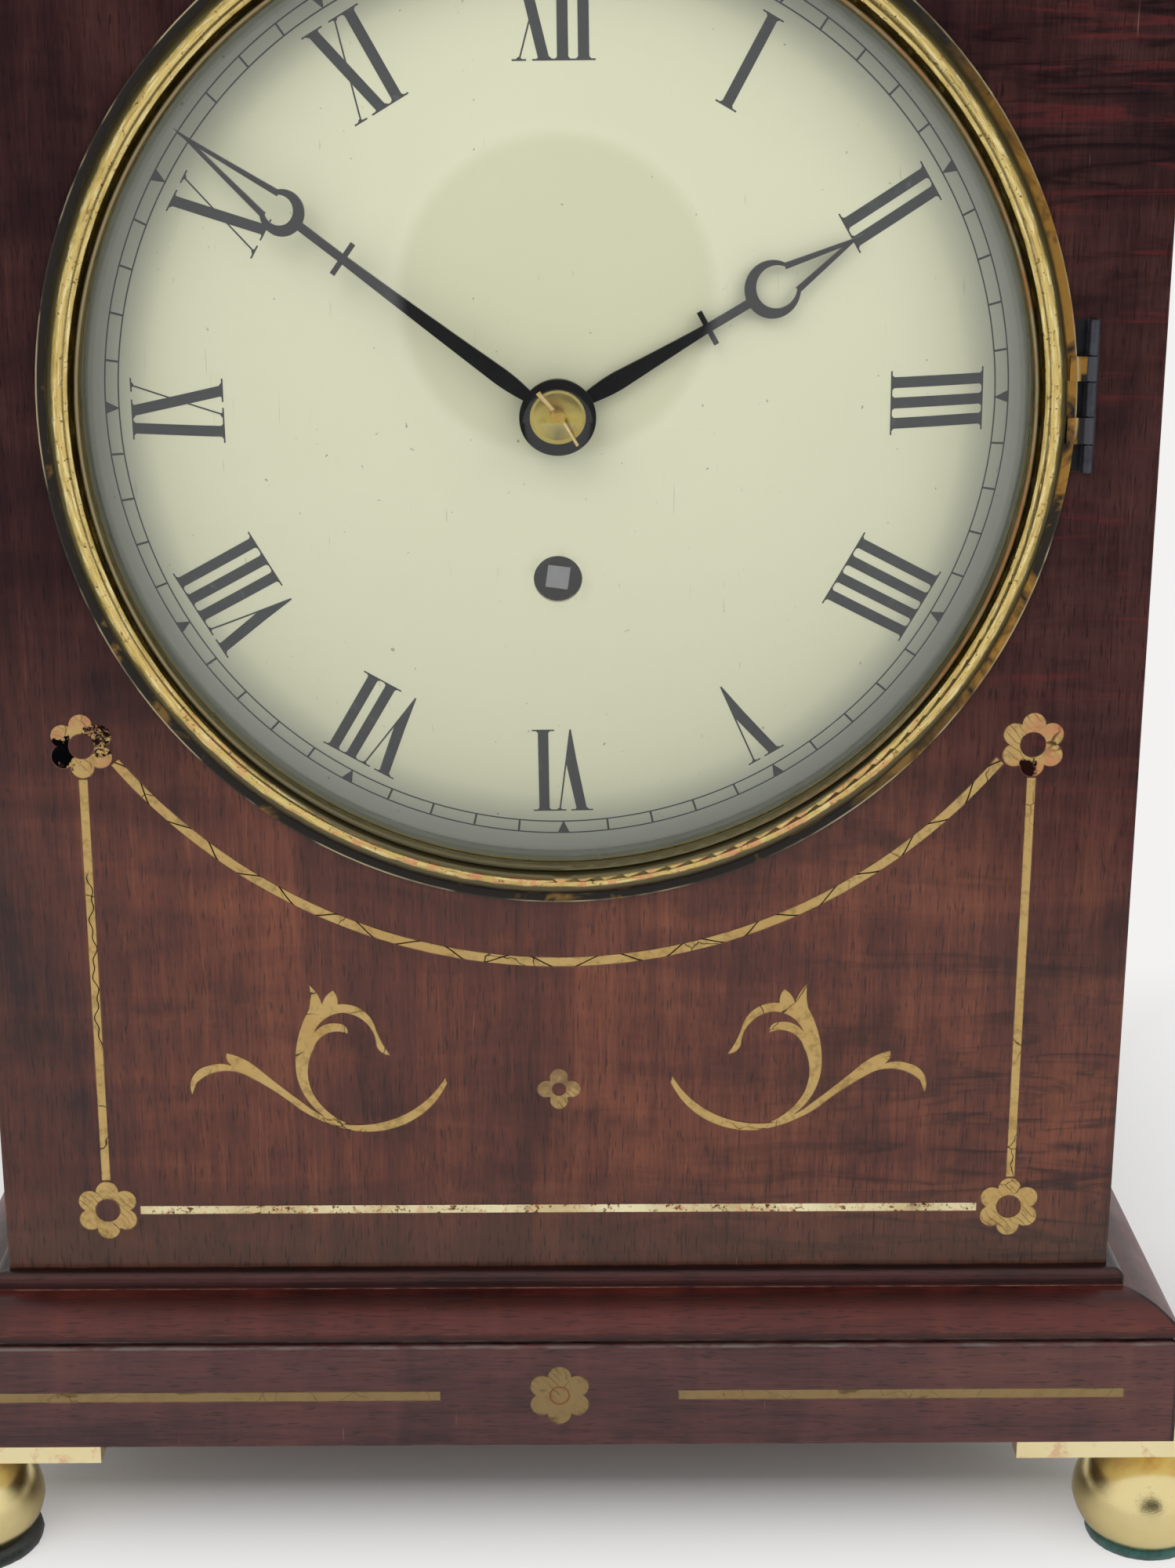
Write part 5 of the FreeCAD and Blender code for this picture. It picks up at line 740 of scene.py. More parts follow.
def bezel_finish(metal):
    """The bezel: a bright roll between browned hollows and flanks, partly painted shade that also
    narrows the bright band at the bottom, and a worn, half-black flange.
    """
    finish = Finish("bezel_brass_rim")
    colour = brushed(finish, metal.bezel, metal.tarnish, 0.16, 0.20, 60.0, 0.3)
    x, _, z = finish.axes()
    away = finish.radius_from(0.0, DIAL_Z)
    wander = finish.cloud("wandering edge", finish.place, 240.0)
    bent = finish.times_plus(finish.minus(wander, 0.5), 0.0008, away)
    # Partly painted shade: outside a bright band on the roll the brass is browned, and at the bottom the
    # band narrows where the roll turns down.
    low = finish.between(z, DIAL_Z - 0.092, DIAL_Z - 0.050, 1.0, 0.0)
    sharpness = 2600.0
    inside = finish.maths("MULTIPLY", finish.minus(bent, finish.times_plus(low, 0.0014, ROLL_IN_R)),
                          sharpness, clamp=True)
    outside = finish.maths("MULTIPLY", finish.minus(finish.times_plus(low, -0.0008, ROLL_OUT_R), bent),
                           sharpness, clamp=True)
    bright = finish.times(inside, outside)
    browned = finish.coat("browned and shaded brass", finish.cloud("brown film", finish.place, 90.0, 4.0, 0.65),
                          linear(58, 50, 28), linear(112, 102, 62))
    browned = finish.coat("paler below", finish.times(low, 0.6), browned, linear(112, 104, 78))
    colour = finish.coat("roll", bright, browned, roll_colour(finish, colour, away, bent, low))
    bead = finish.between(finish.off(away, BEAD_R), 0.00016, 0.00034, 1.0, 0.0)
    bead_colour = finish.speckled("lacquer left", linear(150, 136, 104), metal.bezel_copper,
                                  (75.0, 4.0, 0.65), (0.40, 0.56),
                                  finish.between(x, -0.04, 0.05, 0.15, 1.0))
    bead_colour = finish.coat("bead below", low, bead_colour, linear(96, 90, 66))
    colour = finish.coat("bead", finish.times(bead, 0.85), colour, bead_colour)
    flange = finish.between(finish.times_plus(low, 0.0012, bent), FLANGE_R, FLANGE_R + 0.0004)
    rim_colour, lost = flange_colour(finish, away)
    colour = finish.coat("flange", flange, colour, rim_colour)
    hollow = finish.between(finish.off(bent, ROLL_FOOT_R), 0.00012, 0.00042, 0.85, 0.0)
    colour = finish.coat("dirt inside the roll", finish.times(
        hollow, finish.between(low, 0.0, 1.0, 1.0, 0.4)), colour, metal.tarnish)
    brass_above = finish.times(finish.between(z, DIAL_Z + 0.0070, DIAL_Z + 0.0076),
                               finish.between(x, 0.1064, 0.1067, 1.0, 0.0), 0.85)
    # Painted shade: the hinge tabs are near black, with a painted grey highlight past the knuckle line.
    tab = finish.times(finish.between(x, TAB_X, TAB_X + 0.00035), finish.minus(1.0, brass_above))
    tab_shade_and_highlight = finish.coat("tab_shade_and_highlight", finish.between(x, KNUCKLE_X, KNUCKLE_X + 0.0004),
                           linear(15, 13, 13), linear(62, 63, 70))
    colour = finish.coat("painted shade on hinge tabs", tab, colour, tab_shade_and_highlight)
    dull = finish.largest(tab, finish.times(flange, lost),
                          finish.times(finish.minus(1.0, bright), 0.35))
    finish.set(Base_Color=colour, Metallic=finish.between(dull, 0.0, 1.0, 1.0, 0.35),
               Roughness=finish.between(dull, 0.0, 1.0, 0.20, 0.50))
    return finish


def black_steel(name, metal, rough):
    """Blackened steel with a faint blue-brown sheen and grey rubbed edges."""
    finish = Finish(name)
    tone = finish.cloud("uneven black", finish.place, 240.0, 4.0, 0.65)
    colour = finish.shades("blacks", tone, [
        (0.35, scaled_colour(metal.hand_steel, 0.6)), (0.60, metal.hand_steel),
        (0.84, linear(30, 30, 34))])
    eased = finish.eased_edge(0.00025)
    rub = finish.cloud("rubbed", finish.place, 300.0)
    worn = finish.times(finish.edge_wear(eased, 0.70, 0.97), finish.between(
        rub, 0.46, 0.66, 0.0, 0.35))
    finish.set(Base_Color=finish.coat("rubbed edges", worn, colour, linear(100, 100, 104)),
               Metallic=0.2, Specular_IOR_Level=0.35,
               Roughness=finish.between(rub, 0.3, 0.7, rough * 0.8, rough * 1.25),
               Normal=finish.relief(tone, 0.00003, 0.4, eased))
    return finish


def hinge_finish(metal):
    """Blackened steel, with a painted grey highlight along its outer edge."""
    finish = black_steel("black_steel_hinge", metal, 0.42)
    x, _, _ = finish.axes()
    tone = finish.cloud("uneven grey", finish.place, 420.0, 3.0, 0.65)
    plate = finish.coat("plate", tone, linear(14, 14, 17), linear(44, 44, 50))
    grey = finish.coat("greys", tone, linear(34, 34, 38), linear(84, 86, 94))
    # Painted highlight: grey along the outer edge.
    edge_highlight = finish.between(x, KNUCKLE_X, KNUCKLE_X + 0.0004)
    finish.set(Base_Color=finish.coat("edge_highlight", edge_highlight, plate, grey), Metallic=0.6)
    return finish


def plate_finish(metal):
    """The pale plates over the feet, with pinkish patches where the brass has leached."""
    finish = Finish("polished_brass_plates")
    base = brushed(finish, linear(254, 240, 190), metal.tarnish, 0.10, 0.34, 70.0, 0.4,
                   (0.06, 1, 1))
    finish.set(Base_Color=finish.speckled("pink patches", base, linear(232, 184, 148),
                                          (190.0, 4.0, 0.65), (0.50, 0.62, 0.0, 0.7)))
    return finish


def gear_brass(name, metal, lay=(1, 1, 1)):
    return plain_metal(name, metal.movement, metal.tarnish, 0.12, 0.26, 70.0, 0.45, lay)


# ---- dial ----
def dial_depth(away):
    """How far back the painted dome lies at a distance from the middle of the dial."""
    return DIAL_APEX_Y + DIAL_SPHERE_R - math.sqrt(DIAL_SPHERE_R ** 2 - away ** 2)


def on_dial(clockwise, u, away, lift):
    """A point printed on the dome: u to the right of the hour's line and so far from the middle."""
    x = away * math.sin(clockwise) + u * math.cos(clockwise)
    z = away * math.cos(clockwise) - u * math.sin(clockwise)
    return Vector((x, dial_depth(math.hypot(x, z)) - lift, DIAL_Z + z))


class DialPrint:
    """Collects printed strokes and lays them on the dome in short runs."""

    def __init__(self, lift):
        self.verts = []
        self.faces = []
        self.lift = lift

    def stroke(self, clockwise, foot, top, run=0.0025):
        """A stroke between two edges; each edge is two points, left and right."""
        length = max(math.dist(foot[0], top[0]), math.dist(foot[1], top[1]))
        steps = max(1, math.ceil(length / run))
        start = len(self.verts)
        for i in range(steps + 1):
            share = i / steps
            for low, high in zip(foot, top):
                u = low[0] + (high[0] - low[0]) * share
                v = low[1] + (high[1] - low[1]) * share
                self.verts.append(on_dial(clockwise, u, v, self.lift))
        for i in range(steps):
            a = start + 2 * i
            self.faces.append((a, a + 1, a + 3, a + 2))

    def level_stroke(self, clockwise, low, low_half, high, high_half):
        """A stroke along the hour's line, with half its width at each end."""
        self.stroke(clockwise, [(-low_half, low), (low_half, low)],
                    [(-high_half, high), (high_half, high)])

    def ring(self, radius, half_width, sides=360):
        start = len(self.verts)
        for i in range(sides):
            turn = 2 * math.pi * i / sides
            self.verts.append(on_dial(turn, 0, radius - half_width, self.lift))
            self.verts.append(on_dial(turn, 0, radius + half_width, self.lift))
        for i in range(sides):
            a = start + 2 * i
            b = start + 2 * ((i + 1) % sides)
            self.faces.append((a, b, b + 1, a + 1))

    def add_to_dial(self, name, ink):
        add_piece(name, self.verts, self.faces, ink, "case")


# Ends of the strokes of V and X, in metres from the letter's middle: the thick stroke's left
# edge and the thin stroke's middle, at the top and at the foot.
V_THICK_TOP = -0.0035
V_THIN_TOP = 0.0024
X_THICK_TOP = -0.0038
X_THIN_TOP = 0.00265
X_THICK_FOOT = 0.0010
X_THIN_FOOT = -0.00285
SERIF_REACH = 0.00125
SERIF_SWELL = 0.00042        # the small bracket between a serif and its stroke
LETTER_STEPS = {"II": 0.00412, "VI": 0.0057, "IX": 0.0062, "XI": 0.0057}
LETTER_REACH = {"I": (0.0011, 0.0011), "V": (0.0035, 0.0024), "X": (0.0034, 0.0029)}
MINUTE_MARK_HALF = 0.00022
HOUR_MARK_HALF = (0.00008, 0.00135)   # of the pointed hour marks, at the inner and outer line


def letter_strokes(letter, thick, thin):
    """A letter's strokes and serifs.

    A stroke is a foot share of the height, its foot span, a top share and its top span.
    """
    half = thick / 2

    def hairline(middle):
        return middle - thin / 2, middle + thin / 2

    if letter == "I":
        return [(0, (-half, half), 1, (-half, half))], [("top", -half, half), ("foot", -half, half)]
    if letter == "V":
        thick_top = (V_THICK_TOP, V_THICK_TOP + thick)
        meet_share = thick / (V_THIN_TOP - V_THICK_TOP)
        meet = hairline(V_THIN_TOP * meet_share)
        joined = (V_THICK_TOP * meet_share, meet[1])
        strokes = [(meet_share, joined, 1, thick_top), (0, hairline(0), meet_share, joined),
                   (meet_share, meet, 1, hairline(V_THIN_TOP))]
        return strokes, [("top", *thick_top), ("top", *hairline(V_THIN_TOP))]
    thick_foot = (X_THICK_FOOT, X_THICK_FOOT + thick)
    thick_top = (X_THICK_TOP, X_THICK_TOP + thick)
    thin_foot = hairline(X_THIN_FOOT)
    thin_top = hairline(X_THIN_TOP)
    return ([(0, thick_foot, 1, thick_top), (0, thin_foot, 1, thin_top)],
            [("top", *thick_top), ("top", *thin_top), ("foot", *thick_foot), ("foot", *thin_foot)])


def letter_places(text):
    """Where each letter's middle stands, left to right, with the whole numeral centred."""
    places = [0.0]
    for pair in zip(text, text[1:]):
        places.append(places[-1] + LETTER_STEPS["".join(pair)])
    left = places[0] - LETTER_REACH[text[0]][0]
    right = places[-1] + LETTER_REACH[text[-1]][1]
    return [p - (left + right) / 2 for p in places]


def print_serif(ink, clockwise, level, inward, left, right, dial):
    """A hairline across a stroke's end, with a small bracket in each corner."""
    base = level + inward * dial.thin
    ink.stroke(clockwise, [(left - SERIF_REACH, level), (left - SERIF_REACH, base)],
               [(right + SERIF_REACH, level), (right + SERIF_REACH, base)])
    ink.stroke(clockwise, [(left - SERIF_SWELL, base), (left, base + inward * SERIF_SWELL)],
               [(right + SERIF_SWELL, base), (right, base + inward * SERIF_SWELL)])


def print_numeral(ink, text, clockwise, dial):
    foot = dial.numeral_foot
    height = dial.numeral_height
    for letter, middle in zip(text, letter_places(text)):
        strokes, serifs = letter_strokes(letter, dial.thick, dial.thin)
        for low, low_span, high, high_span in strokes:
            low_at = foot + height * low
            high_at = foot + height * high
            ink.stroke(clockwise, [(middle + u, low_at) for u in low_span],
                       [(middle + u, high_at) for u in high_span])
        for end, left, right in serifs:
            level, inward = (foot + height, -1) if end == "top" else (foot, 1)
            print_serif(ink, clockwise, level, inward, middle + left, middle + right, dial)


def dial_paint(dial):
    """Cream paint with painted shade greying it towards the rim, and fine age marks."""
    finish = Finish("dial_paint_cream")
    # Painted shade: the paint greys towards the rim of the dial.
    grey = finish.between(finish.radius_from(0.0, DIAL_Z), 0.083, 0.0945)
    drift = finish.cloud("yellowing", finish.place, 16.0, 3.0, 0.5)
    cream = finish.coat("yellowed", finish.between(drift, 0.35, 0.7, 0.0, 0.35), dial.paint,
                        scaled_colour(dial.paint, 0.93))
    colour = finish.coat("painted rim shade", finish.times(grey, 0.85), cream, dial.rim_shade_colour)
    colour = finish.speckled("specks", colour, linear(96, 88, 70), (700.0, 2.0, 0.5),
                             (0.745, 0.775, 0.0, 0.6))
    hairs = finish.streaks("hair scratches", (1400, 1400, 40), None, 1.0, 0.5, 0.5, (0, 1.1, 0))
    colour = finish.coat("hair scratches", finish.between(hairs, 0.76, 0.80, 0.0, 0.3), colour,
                         linear(140, 134, 112))
    round_hole = finish.between(finish.radius_from(0.0, WINDING_HOLE_Z), WINDING_HOLE_R,
                                WINDING_HOLE_R + 0.0028, 1.0, 0.0)
    colour = finish.speckled("key rub", colour, linear(176, 166, 138), (320.0,),
                             (0.40, 0.62, 0.05, 0.35), round_hole)
    skin = finish.cloud("paint skin", finish.place, 900.0, 2.0, 0.5)
    finish.set(Base_Color=colour, Roughness=finish.between(drift, 0.3, 0.7, 0.38, 0.48),
               Normal=finish.relief(skin, 0.00002, 0.35), Specular_IOR_Level=0.35)
    return finish


def ink_finish(dial):
    finish = Finish("dial_paint_ink")
    tone = finish.cloud("worn ink", finish.place, 260.0, 4.0, 0.7)
    colour = finish.shades("ink colours", tone, [
        (0.30, scaled_colour(dial.ink, 0.75)), (0.62, dial.ink), (0.80, linear(96, 98, 94))])
    finish.set(Base_Color=colour, Roughness=0.55, Specular_IOR_Level=0.25)
    return finish


def clear_glass(name, tint):
    """Clear polished glass that lets daylight through to what lies behind it."""
    finish = Finish(name)
    dust = finish.cloud("dust film", finish.place, 110.0)
    finish.set(Base_Color=tint, Roughness=finish.between(dust, 0.55, 0.8, 0.0, 0.03),
               Transmission_Weight=1.0, IOR=1.5)
    through = finish.step("ShaderNodeBsdfTransparent", "light passes through", {
        "Color": (0.95, 0.96, 0.95, 1)})
    finish.show_instead("glass", finish.rays("Shadow", "Diffuse"), through)
    return finish


# ---- cloth ----
def felt_finish(cloth):
    """Matted felt, near black on the left."""
    finish = Finish("teal_felt_fibres")
    fibres = finish.cloud("fibres", finish.place, 1500.0, 5.0, 0.8, 1.5)
    tufts = finish.cloud("matted tufts", finish.place, 300.0)
    tone = finish.times_plus(tufts, 0.4, finish.times(fibres, 0.6))
    colour = finish.shades("felt colours", tone, [
        (0.36, scaled_colour(cloth.felt, 0.30)), (0.52, cloth.felt),
        (0.72, scaled_colour(cloth.felt, 1.7))])
    x, _, _ = finish.axes()
    # The pads on the left turn near black.
    colour = finish.coat("darker on the left", finish.between(x, -0.05, 0.05, 0.93, 0.0), colour,
                         linear(15, 16, 19))
    finish.set(Base_Color=colour, Roughness=0.95, Sheen_Weight=0.35, Sheen_Roughness=0.5,
               Normal=finish.relief(fibres, 0.0004, 0.8))
    return finish


def silk_finish(cloth):
    """Woven silk, faded in places."""
    finish = Finish("silk_weave")
    threads = [finish.step("ShaderNodeTexWave", "threads", {"Vector": finish.place, "Scale": 560.0},
                           wave_type="BANDS", bands_direction=direction).outputs["Fac"]
               for direction in "YZ"]
    weave = finish.times(*threads)
    colour = finish.speckled("faded silk", cloth.silk, scaled_colour(cloth.silk, 1.7), (40.0,),
                             (0.35, 0.7, 0.0, 0.5))
    colour = finish.coat("between threads", finish.between(weave, 0.0, 0.4, 0.5, 0.0), colour,
                         scaled_colour(cloth.silk, 0.35))
    finish.set(Base_Color=colour, Roughness=0.5, Sheen_Weight=0.6, Sheen_Roughness=0.35,
               Normal=finish.relief(weave, 0.00006, 0.6))
    return finish


def silk_panel(side, finish, cloth):
    """Gathered silk cut to the arch of the fret, stretched behind it."""
    columns = 104
    rows = 44
    half = FRET_W / 2
    spring = FRET_H - half
    verts = []
    faces = []
    for row in range(rows + 1):
        rise = FRET_H * (1 - (1 - row / rows) ** 1.35)
        reach = half if rise <= spring else math.sqrt(max(0.0, half ** 2 - (rise - spring) ** 2))
        for column in range(columns + 1):
            across = (2 * column / columns - 1) * max(reach, 0.0002)
            gather = math.sin(across / FRET_W * 2 * math.pi * cloth.silk_folds)
            lean = 0.35 * math.sin(rise * 90 + across * 55)
            depth = cloth.fold_depth * (gather * (0.8 + 0.2 * math.sin(rise * 61)) + lean) / 1.35
            verts.append((side * (CLOTH_MID_X + depth), MIDDLE_Y + across, FRET_SILL_Z + rise))
    wide = columns + 1
    for row in range(rows):
        for column in range(columns):
            a = row * wide + column
            faces.append((a, a + 1, a + 1 + wide, a + wide))
    name = "silk_panel_right" if side > 0 else "silk_panel_left"
    return add_piece(name, verts, faces, finish, "case", smooth=True)


def felt_pad(name, x, y, pad_r, finish, seed):
    """A felt disc with a soft edge that bulges a little under the weight."""
    profile = [(0.70, 0.0), (0.93, 0.0), (0.975, 0.06), (0.992, 0.25), (1.0, 0.5), (0.990, 0.78),
               (0.965, 0.95), (0.92, 1.0), (0.60, 1.0)]
    sides = 96
    verts = [(x, y, 0.0)]
    for share, level in profile:
        for i in range(sides):
            turn = 2 * math.pi * i / sides
            fuzz = 1 - 0.010 * (0.5 + 0.5 * math.sin(turn * 23 + seed) * math.sin(turn * 7 + 2 * seed))
            fuzz -= 0.006 * (0.5 + 0.5 * math.sin(turn * 41 + 3 * seed + level * 5))
            radius = pad_r * share * fuzz
            verts.append((x + radius * math.cos(turn), y + radius * math.sin(turn), level * PAD_T))
    verts.append((x, y, PAD_T))
    top = len(verts) - 1
    last = top - sides
    faces = [(0, 1 + (i + 1) % sides, 1 + i) for i in range(sides)]
    for start in range(1, last, sides):
        for i in range(sides):
            a = start + i
            b = start + (i + 1) % sides
            faces.append((a, b, b + sides, a + sides))
    faces += [(last + i, last + (i + 1) % sides, top) for i in range(sides)]
    pad = add_piece(name, verts, faces, finish, "case", smooth=True)
    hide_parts("foot_pads")


class CLOCK_OT_case_wood(bpy.types.Operator):
    """Polish the mahogany of the case, base and top, and leave the inner boards plain"""
    bl_idname = "clock.case_wood"
    bl_label = "Case wood"

    def execute(self, context):
        wood = context.scene.clock_wood
        dress(mahogany("mahogany_front", wood, "UP", ripple=1.0, rough=0.34, darkened=True),
              "front_panel")
        dress(mahogany("mahogany_sides", wood, "UP", ripple=0.5), "left_side_panel",
              "right_side_panel")
        dress(mahogany("mahogany_moulding", wood, "ROUND", stain=wood.moulding, stain_share=0.8,
                       rough=0.40), "base_moulding")
        dress(mahogany("mahogany_plinth", wood, "ROUND", stain=wood.plinth, stain_share=0.65,
                       shine=0.20), "plinth_boards")
        dress(mahogany("mahogany_cornice", wood, "ROUND", stain=wood.moulding, stain_share=0.35,
                       shine=0.35), "cornice")
        dress(mahogany("mahogany_roof", wood, "ACROSS", ripple=0.4), "roof")
        dress(mahogany("mahogany_door", wood, "UP", ripple=0.2), "back_door_frame")
        dress(plain_boards("carcass_wood_plain", wood), "bottom_board", "top_board", "back_frame",
              "seat_board")
        return {"FINISHED"}


class CLOCK_OT_brass_inlay(bpy.types.Operator):
    """Dull the flush brass lines, swag, scrolls and flowers"""
    bl_idname = "clock.brass_inlay"
    bl_label = "Brass inlay"

    def execute(self, context):
        metal = context.scene.clock_metal
        dress(swag_finish(metal), "inlay_swag")
        dress(line_finish(metal), "inlay_lines")
        dress(flower_finish(metal), "inlay_flowers")
        dress(inlay_brass("inlay_brass_scrolls", metal, 0.18)[0], "inlay_scrolls")
        return {"FINISHED"}


class CLOCK_OT_bezel(bpy.types.Operator):
    """Finish the bezel, its glass, the hinge and the ring behind the glass"""
    bl_idname = "clock.bezel"
    bl_label = "Bezel and glass"

    def execute(self, context):
        metal = context.scene.clock_metal
        dress(bezel_finish(metal), "bezel")
        dress(plain_metal("bezel_brass_ring", scaled_colour(metal.bezel, 0.85), metal.tarnish, 0.3,
                          0.32), "glass_ring")
        dress(plain_metal("silvered_ring_dull", linear(196, 198, 194), linear(110, 108, 100), 0.3,
                          0.42, 120.0), "sight_ring")
        dress(hinge_finish(metal), "bezel_hinge_leaf")
        dress(clear_glass("clear_glass_bezel", (0.975, 0.99, 0.98)), "bezel_glass")
        return {"FINISHED"}


class CLOCK_OT_dial(bpy.types.Operator):
    """Paint the dial and print its numerals and minute track"""
    bl_idname = "clock.dial"
    bl_label = "Dial"

    def execute(self, context):
        dial = context.scene.clock_dial
        metal = context.scene.clock_metal
        dress(dial_paint(dial), "dial")
        dress(plain_metal("dial_paint_feet", metal.movement, metal.tarnish, 0.2, 0.4), "dial_feet")
        ink = ink_finish(dial)
        for hour, text in enumerate(NUMERALS):
            numeral = DialPrint(dial.print_lift)
            print_numeral(numeral, text, math.radians(30 * hour) - dial.print_turn, dial)
            numeral.add_to_dial("dial_numeral_%s" % text, ink)
        track = DialPrint(dial.print_lift)
        marks = DialPrint(dial.print_lift)
        half = dial.track_line / 2
        track.ring(dial.track_inner, half)
        track.ring(dial.track_outer, half)
        for minute in range(60):
            turn = math.radians(6 * minute) - dial.print_turn
            if minute % 5:
                track.level_stroke(turn, dial.track_inner, MINUTE_MARK_HALF, dial.track_outer,
                                   MINUTE_MARK_HALF)
            else:
                marks.level_stroke(turn, dial.track_inner, HOUR_MARK_HALF[0],
                                   dial.track_outer + half, HOUR_MARK_HALF[1])
        track.add_to_dial("dial_minute_track", ink)
        marks.add_to_dial("dial_hour_marks", ink)
        return {"FINISHED"}


class CLOCK_OT_hands(bpy.types.Operator):
    """Blacken the hands and finish their brass collet and pin"""
    bl_idname = "clock.hands"
    bl_label = "Hands"

    def execute(self, context):
        metal = context.scene.clock_metal
        dress(black_steel("hand_steel_black", metal, 0.36), "minute_hand", "hour_hand")
        dress(plain_metal("polished_brass_collet", linear(208, 188, 104), metal.tarnish, 0.25, 0.38,
                          260.0, 0.6), "hand_collet")
        dress(plain_metal("polished_brass_pin", linear(226, 200, 140), metal.tarnish, 0.2, 0.2,
                          300.0), "hand_pin")
        return {"FINISHED"}


class CLOCK_OT_feet(bpy.types.Operator):
    """Polish the ball feet and their plates, and lay felt under them"""
    bl_idname = "clock.feet"
    bl_label = "Feet"

    def execute(self, context):
        metal = context.scene.clock_metal
        dress(plain_metal("polished_brass_balls", metal.polished, metal.tarnish, 0.26, 0.20, 90.0,
                          0.8), "ball_feet")
        dress(plate_finish(metal), "foot_plates")
        felt = felt_finish(context.scene.clock_cloth)
        corners = [("left_front", -PAD_X, PAD_FRONT_Y, LEFT_PAD_R),
                   ("right_front", PAD_X, PAD_FRONT_Y, PAD_R),
                   ("left_back", -PAD_X, PAD_BACK_Y, PAD_R),
                   ("right_back", PAD_X, PAD_BACK_Y, PAD_R)]
        for seed, (corner, x, y, radius) in enumerate(corners):
            felt_pad("felt_pad_%s" % corner, x, y, radius, felt, seed * 1.7)
        return {"FINISHED"}


class CLOCK_OT_side_fittings(bpy.types.Operator):
    """Finish the pierced side frets, the ring handles and the finial, and hang the silk"""
    bl_idname = "clock.side_fittings"
    bl_label = "Side fittings and finial"

    def execute(self, context):
        metal = context.scene.clock_metal
        cloth = context.scene.clock_cloth
        dress(plain_metal("polished_brass_frets", scaled_colour(metal.polished, 0.9), metal.tarnish,
                          0.30, 0.32, 110.0, 0.35), "side_frets")
        dress(plain_metal("polished_brass_handles", metal.polished, metal.tarnish, 0.26, 0.22, 85.0,
                          0.4), "left_ring_handle", "right_ring_handle", "handle_bosses")
        dress(plain_metal("polished_brass_finial", metal.polished, metal.tarnish, 0.24, 0.20, 75.0,
                          0.4), "finial")
        silk = silk_finish(cloth)
        for side, panel in ((1, "right_side_panel"), (-1, "left_side_panel")):
            piece = silk_panel(side, silk, cloth)
            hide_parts("fret_cloths")
        return {"FINISHED"}


class CLOCK_OT_movement(bpy.types.Operator):
    """Finish the brass and steel of the movement, and the pendulum"""
    bl_idname = "clock.movement"
    bl_label = "Movement"

    def execute(self, context):
        metal = context.scene.clock_metal
        dress(gear_brass("movement_brass_plates", metal, (1, 1, 0.05)), "front_plate", "back_plate",
              "back_cock")
        dress(gear_brass("movement_brass_pillars", metal, (1, 0.05, 1)), "plate_pillars")
        dress(gear_brass("movement_brass_wheels", metal), "centre_wheel", "hour_wheel",
              "minute_wheel", "intermediate_wheel", "third_wheel", "escape_wheel", "barrel")
        dress(plain_metal("movement_brass_bob", metal.movement, metal.tarnish, 0.28, 0.26, 60.0,
                          0.4), "pendulum_bob")
        dress(plain_metal("movement_steel_bright", metal.steel, linear(70, 62, 56), 0.14, 0.22,
                          120.0, 0.35), "pillar_pins", "cannon_pinion", "barrel_arbor",
              "ratchet_wheel", "click", "anchor", "pendulum_rod", "seat_screws")
        dress(plain_metal("movement_steel_blued", linear(70, 78, 104), linear(46, 40, 44), 0.2,
                          0.26, 120.0, 0.3), "mainspring")
        return {"FINISHED"}


class CLOCK_OT_back_door(bpy.types.Operator):
    """Glaze the back door and finish its hinges and knob"""
    bl_idname = "clock.back_door"
    bl_label = "Back door"

    def execute(self, context):
        metal = context.scene.clock_metal
        dress(clear_glass("clear_glass_door", (0.96, 0.985, 0.965)), "back_door_glass")
        dress(plain_metal("polished_brass_door", metal.polished, metal.tarnish, 0.30, 0.28, 95.0,
                          0.35), "back_door_brasses", "back_hinges")
        return {"FINISHED"}


# ---- stage ----
def floor_finish(stage):
    """Pale paper; it takes the clock's shadow, and away from the clock it fades to plain white."""
    finish = Finish("stage_paper")
    tooth = finish.cloud("paper tooth", finish.place, 260.0)
    colour = finish.coat("tooth", finish.between(tooth, 0.3, 0.7, 0.0, 0.3), stage.floor,
                         scaled_colour(stage.floor, 0.96))
    finish.set(Base_Color=colour, Roughness=0.6, Specular_IOR_Level=0.2,
               Normal=finish.relief(tooth, 0.0001, 0.2))
    x, y, _ = finish.axes()
    side = finish.times_plus(finish.maths("ABSOLUTE", x), 0.45, -0.062)
    front = finish.minus(FLOOR_SHADE_Y, y)
    back = finish.times_plus(y, 0.30, -0.042)
    fade = finish.between(finish.largest(side, front, back), 0.0, 0.050)
    finish.show_instead("fading paper", finish.times(fade, finish.rays("Camera")),
                        finish.far_white())
    return finish


def backdrop_finish():
    """White to the camera and to reflections, plain pale paper to everything else."""
    finish = Finish("stage_white")
    finish.set(Base_Color=finish.speckled("paper", linear(236, 236, 236), linear(228, 229, 230),
                                          (30.0, 2.0, 0.5), (0.3, 0.7, 0.0, 0.2)), Roughness=0.9)
    finish.show_instead("backdrop", finish.rays("Glossy", "Transmission", "Camera"),
                        finish.far_white())
    return finish


def studio_sweep(finish, name, outline):
    """A wide paper sheet whose side outline is a list of (y, z) places."""
    verts = []
    for y, z in outline:
        verts += [(-STAGE_HALF_W, y, z), (STAGE_HALF_W, y, z)]
    faces = [(2 * i, 2 * i + 1, 2 * i + 3, 2 * i + 2) for i in range(len(outline) - 1)]
    mesh_object(name, verts, faces, finish, True)


def soft_lamp(name, place, target, wide, high, power):
    light = bpy.data.lights.new(name, "AREA")
    light.shape = "RECTANGLE"
    light.size = wide
    light.size_y = high
    light.energy = power
    lamp = bpy.data.objects.new(name, light)
    lamp.location = place
    aim = Vector(target) - Vector(place)
    lamp.rotation_euler = aim.to_track_quat("-Z", "Y").to_euler()
    lamp.visible_glossy = False
    lamp.visible_transmission = False
    bpy.context.scene.collection.objects.link(lamp)


